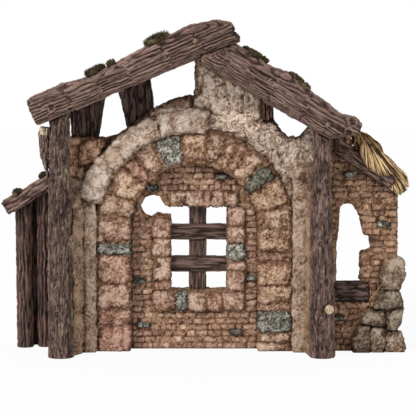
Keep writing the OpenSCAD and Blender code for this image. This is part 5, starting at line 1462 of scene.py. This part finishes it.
class STABLE_OT_thatch(StableOperator, Operator):
    """Straw bundles on the right lean-to"""

    bl_idname = "stable.thatch"
    bl_label = "Thatch"

    def build(self, masonry, timber, sizes):
        """Fills each bundle with straws that run from a far point through random spots of its outline, over
        a dark core that is painted shade between the straws."""
        finish = straw_finish("straw", timber, "straw")
        bundles = (("thatch_upper", (232, 402), 0.8, 1, 7), ("thatch_fan", (263, 356), 0.96, 0.75, 1),
                   ("thatch_eave", (266, 349), 0.9, 1, 1))
        for seed, (node, source, dim, portion, overhang) in enumerate(bundles):
            triangles = node_triangles(node)
            y = triangles[:, :, 1]
            loops = outline(triangles, 1, False)
            dice = np.random.default_rng(900 + seed)
            count = sizes.straw_count * portion
            core = slab(loops, y.min() + 3, y.max() - 3, 1, 3.0, 3.0, 3.0, side_give=1.0)
            # Painted shade: the core is dark, darkest on its front, to show as shade between the straws
            core.clean[:] = np.where(core.points[:, 1] < y.min() + 6, 0.22, 0.55)
            angle = np.arctan2(core.points[:, 2] - source[1], core.points[:, 0] - source[0])
            lines = ridged(np.stack([angle * 26, core.points[:, 1] / 2.4, angle * 0], 1), 190 + seed, 2)
            starts, ends = straws_in(loops, y.min(), y.max(), np.array(source, float), int(count), dice)
            keep = np.linalg.norm(ends - starts, axis=1) > 6
            starts, ends = starts[keep], ends[keep]
            run = ends - starts
            starts = starts - run / np.linalg.norm(run, axis=1, keepdims=True) * overhang
            if node == "thatch_eave":
                low_end = ends[:, 2] < np.quantile(ends[:, 2], 0.5)
                ends[low_end] += [-1.5, 0, -3.0]
            n = len(starts)
            thick = sizes.straw_radius / METRE * dice.uniform(0.6, 1.2, n)
            is_dark = dice.uniform(0, 1, n) < 0.4
            shade = np.where(is_dark, dice.uniform(0.0, 0.28, n), dice.uniform(0.55, 1.2, n)) * dim
            rods = strands(starts, ends, thick, dice.normal(0, 0.9, (n, 2)), shade)
            level = np.concatenate([0.15 + 0.75 * lines, np.ones(len(rods.points))])
            dress(node, [core, rods], lambda s, level=level: level, 0.003, finish, centre=1.4)


def straws_in(loops, y0, y1, source, count, dice):
    """Ends of straws inside an outline: each lies on the line from the source through a random spot, cut
    where it meets the outline; most lie close to the front, the back or the outer skin."""
    every = np.concatenate(loops)
    spots = dice.uniform(every.min(0), every.max(0), (count * 8, 2))
    spots = spots[inside(loops, spots)][:count]
    skin = np.arange(len(spots)) % 3 == 0
    rim = nearest(loops, spots)[1]
    inward = (spots - rim) / np.maximum(np.linalg.norm(spots - rim, axis=1, keepdims=True), 0.1)
    spots[skin] = (rim + inward * 1.7)[skin]
    way = spots - source
    way /= np.linalg.norm(way, axis=1, keepdims=True)
    after, before = np.full(len(spots), 1e3), np.full(len(spots), -1e3)
    for loop in loops:
        for start, end in zip(loop, np.roll(loop, -1, 0)):
            run = end - start
            cross = way[:, 0] * run[1] - way[:, 1] * run[0]
            gap = start - spots
            with np.errstate(divide="ignore", invalid="ignore"):
                t = (gap[:, 0] * run[1] - gap[:, 1] * run[0]) / cross
                u = (gap[:, 0] * way[:, 1] - gap[:, 1] * way[:, 0]) / cross
            hit = (u >= 0) & (u <= 1)
            after = np.where(hit & (t > 0), np.minimum(after, t), after)
            before = np.where(hit & (t < 0), np.maximum(before, t), before)
    n = len(spots)
    y = np.where(np.arange(n) % 5 < 2, y0 + 1.5 + dice.uniform(0, 3.5, n),
                 dice.uniform(y0 + 1.5, y1 - 1.5, n))
    y = np.where(np.arange(n) % 5 == 2, y1 - 1.5 - dice.uniform(0, 3.5, n), y)
    y = np.where(skin, dice.uniform(y0 + 1.5, y1 - 1.5, n), y)
    short = dice.uniform(0, 0.22, (2, n))
    p0 = spots + way * (before * (1 - short[0]))[:, None]
    p1 = spots + way * (after * (1 - short[1] * 0.6))[:, None]
    lean = dice.normal(0, 1.5, n)
    return (np.insert(p, 1, np.clip(y + shift, y0 + 1.2, y1 - 1.2), 1)
            for p, shift in ((p0, -lean), (p1, lean)))


class STABLE_OT_left_lean_to(StableOperator, Operator):
    """Board, logs and roof beams of the left lean-to"""

    bl_idname = "stable.left_lean_to"
    bl_label = "Left lean-to"

    def build(self, masonry, timber, sizes):
        """Planks with upright grain; logs up their height; beams up their slope."""
        dark = timber_finish("lean_to_board_wood", timber, "dark")
        red = (rgb(80, 57, 50), rgb(134, 102, 90))
        post = timber_finish("lean_to_log_bark", timber, "dark", red, None, 0.46, crack=0.25,
                             hair=0.25, lift=0.06)
        roof = timber_finish("left_beam_bark", timber, "roof")
        shells = stone_row("left_wing_board", sizes, low_to_high, (0.0,), 1.5, step=0.0024, high_edge=1.5)
        for shell in shells:
            shell.at = shell.at * [1, 1, 0.09]
            shell.clean = np.maximum(shell.clean, 0.8)
        dress("left_wing_board", shells, lambda s: bark(s, 160, 9), 0.003, dark)
        for node, seed in (("left_outer_log", 41), ("left_inner_log", 42)):
            shell = limb(node_triangles(node), UPWARDS, FORWARDS, 1.7, 52, 14, 2.1, (0, 2), seed, shrink=-1.8)
            shell.points[:, 0] -= 1.6 if node == "left_outer_log" else 0
            dress(node, [shell], lambda s, seed=seed: bark(s, 120 + seed, 5.5, ridge=7.0), 0.0045, post)
        for node, seed in (("left_wing_beam_front", 43), ("left_wing_beam_rear", 44)):
            shell = limb(node_triangles(node), *slope(LEAN_TO_PITCH), 1.7, 60, 7, 2.6, (3, 1), seed)
            dress(node, [shell], lambda s, seed=seed: bark(s, 120 + seed, 6), 0.004, roof)


class STABLE_OT_moss(StableOperator, Operator):
    """Tufts of moss on the roof logs"""

    bl_idname = "stable.moss"
    bl_label = "Moss"

    def build(self, masonry, timber, sizes):
        """A lumpy cushion with short spikes over each tuft's solid."""
        finish = straw_finish("moss", timber, "moss")
        tufts = (("moss_left", LEFT_PITCH, 1.4, 6), ("moss_right", RIGHT_PITCH, 1.0, 4),
                 ("moss_wing", LEAN_TO_PITCH, 1.2, 4))
        for seed, (node, pitch, rise, longest) in enumerate(tufts):
            dice = np.random.default_rng(700 + seed)
            c, d = math.cos(math.radians(pitch)), math.sin(math.radians(pitch))
            turn = np.array([[c, 0, -d], [0, 1, 0], [d, 0, c]])
            shells = []
            for number, triangles in enumerate(solids(node)):
                corners = triangles.reshape(-1, 3) @ turn
                low, high = corners.min(0), corners.max(0)
                centre, radii = (low + high) / 2, (high - low) / 2 * [1.02, 1.12, rise]
                centre[2] = low[2] + radii[2] * 0.62
                centre = centre @ turn.T
                cushion = bulb(np.zeros(3), radii * [0.96, 0.96, 0.86], 26, 48)
                cushion.points = centre + cushion.points @ turn.T
                cushion.at = cushion.points + number * 5.3
                cushion.clean[:] = 0.62
                shells.append(cushion)
                n = sizes.moss_spikes
                way = dice.normal(0, 1, (n, 3)) + [0, -0.3, 0.6]
                way /= np.linalg.norm(way, axis=1, keepdims=True)
                root = centre + way * radii * 0.6 @ turn.T
                reach = dice.uniform(0.92, 1.12, (n, 1))
                stand = [0, -0.3, 1] * dice.uniform(0, 1, (n, 1)) ** 2 * longest
                tip = centre + (way * radii * reach + stand) @ turn.T
                shells.append(strands(root, tip, np.full(n, 0.95), dice.normal(0, 1.1, (n, 2)),
                                      dice.uniform(0.02, 1.0, n) ** 1.2, 4, 3, 0.35))
            dress(node, shells, lambda s,
                  seed=seed: np.where(s.give > 0, mossy(s, 170 + seed), 0.85), 0.008, finish)


class STABLE_OT_stage(Operator):
    """Floor, light and camera"""

    bl_idname = "stable.stage"
    bl_label = "Stage"

    def execute(self, context):
        """Sets a pale floor that shows white to the camera with a faint shadow, a key light from the upper
        left, a soft fill, and the camera at the photograph's angle."""
        s = context.scene.stable_stage
        half_width = 6.0
        mesh = bpy.data.meshes.new("floor")
        spots = [(x * half_width, y * half_width, 0) for x, y in ((-1, -1), (1, -1), (1, 1), (-1, 1))]
        mesh.from_pydata(spots, [], [(0, 1, 2, 3)])
        floor = bpy.data.objects.new("floor", mesh)
        context.scene.collection.objects.link(floor)
        f = Finish("floor_paint")
        path = f.node("ShaderNodeLightPath", {}, {}, "Is Camera Ray")
        plain = f.node("ShaderNodeBsdfDiffuse", {}, {"Color": (*s.floor_paint, 1)})
        white = f.node("ShaderNodeEmission", {}, {"Color": (1, 1, 1, 1), "Strength": 1.0})
        blend = f.node("ShaderNodeMixShader", {}, {0: path * 0.92, 1: plain, 2: white})
        out = f.tree.nodes.new("ShaderNodeOutputMaterial")
        f.tree.links.new(blend.socket, out.inputs["Surface"])
        mesh.materials.append(f.material)

        world = context.scene.world or bpy.data.worlds.new("sky")
        context.scene.world = world
        world.use_nodes = True
        tree = world.node_tree
        tree.nodes.clear()
        rays = tree.nodes.new("ShaderNodeLightPath")
        seen = None
        for name in ("Is Camera Ray", "Is Glossy Ray", "Is Transmission Ray"):
            if seen is None:
                seen = rays.outputs[name]
                continue
            either = tree.nodes.new("ShaderNodeMath")
            either.operation = "MAXIMUM"
            tree.links.new(seen, either.inputs[0])
            tree.links.new(rays.outputs[name], either.inputs[1])
            seen = either.outputs[0]
        shown, lit = tree.nodes.new("ShaderNodeBackground"), tree.nodes.new("ShaderNodeBackground")
        lit.inputs["Strength"].default_value = s.sky_power
        either = tree.nodes.new("ShaderNodeMixShader")
        tree.links.new(seen, either.inputs[0])
        tree.links.new(lit.outputs[0], either.inputs[1])
        tree.links.new(shown.outputs[0], either.inputs[2])
        for background in (shown, lit):
            background.inputs["Color"].default_value = (1, 1, 1, 1)
        tree.links.new(either.outputs[0], tree.nodes.new("ShaderNodeOutputWorld").inputs["Surface"])

        lamps = (("key", (-0.52, -0.62, 0.6), s.key_power, 12),
                 ("fill", (0.75, -0.6, 0.25), s.fill_power, 40))
        for name, way, power, soft in lamps:
            lamp = bpy.data.lights.new(name, "SUN")
            lamp.energy, lamp.angle = power, math.radians(soft)
            sun = bpy.data.objects.new(name, lamp)
            sun.rotation_mode = "QUATERNION"
            sun.rotation_quaternion = Vector(way).to_track_quat("Z", "Y")
            context.scene.collection.objects.link(sun)

        data = bpy.data.cameras.new("camera")
        data.lens, data.sensor_width = s.lens, 36
        data.clip_start, data.clip_end = 0.05, 50
        camera = bpy.data.objects.new("camera", data)
        back = Vector((0, -math.cos(s.elevation), math.sin(s.elevation)))
        camera.location = Vector(LOOK_AT) + back * s.distance
        camera.rotation_mode = "QUATERNION"
        camera.rotation_quaternion = back.to_track_quat("Z", "Y")
        context.scene.collection.objects.link(camera)
        context.scene.camera = camera
        context.scene.view_settings.view_transform = "Standard"
        return {"FINISHED"}


STEPS = (STABLE_OT_backing_walls, STABLE_OT_bricks, STABLE_OT_arch, STABLE_OT_outer_band, STABLE_OT_render,
         STABLE_OT_piers, STABLE_OT_lattice, STABLE_OT_posts, STABLE_OT_roof, STABLE_OT_struts,
         STABLE_OT_right_lean_to, STABLE_OT_thatch, STABLE_OT_left_lean_to, STABLE_OT_moss, STABLE_OT_stage)
GROUPS = {"stable_masonry": MasonryPaints, "stable_timber": TimberPaints, "stable_sizes": SurfaceSizes,
          "stable_stage": StageSettings}


class STABLE_PT_sidebar(Panel):
    """Lists the steps and the settings"""

    bl_idname = "STABLE_PT_sidebar"
    bl_label = "Ruined stable"
    bl_space_type = "VIEW_3D"
    bl_region_type = "UI"
    bl_category = "Stable"

    def draw(self, context):
        """One button for each step, then every setting."""
        for step in STEPS:
            self.layout.operator(step.bl_idname)
        for pointer, group in GROUPS.items():
            box = self.layout.box()
            for name in group.__annotations__:
                box.prop(getattr(context.scene, pointer), name)


def register():
    """Makes the settings, steps and panel known to Blender."""
    for made in (*GROUPS.values(), *STEPS, STABLE_PT_sidebar):
        bpy.utils.register_class(made)
    for pointer, group in GROUPS.items():
        setattr(bpy.types.Scene, pointer, PointerProperty(type=group))


def unregister():
    """Takes them away again."""
    for pointer in GROUPS:
        delattr(bpy.types.Scene, pointer)
    for made in reversed((*GROUPS.values(), *STEPS, STABLE_PT_sidebar)):
        bpy.utils.unregister_class(made)


def main():
    """Registers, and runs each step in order."""
    register()
    for step in STEPS:
        group, name = step.bl_idname.split(".")
        getattr(getattr(bpy.ops, group), name)()


if __name__ == "__main__":
    main()
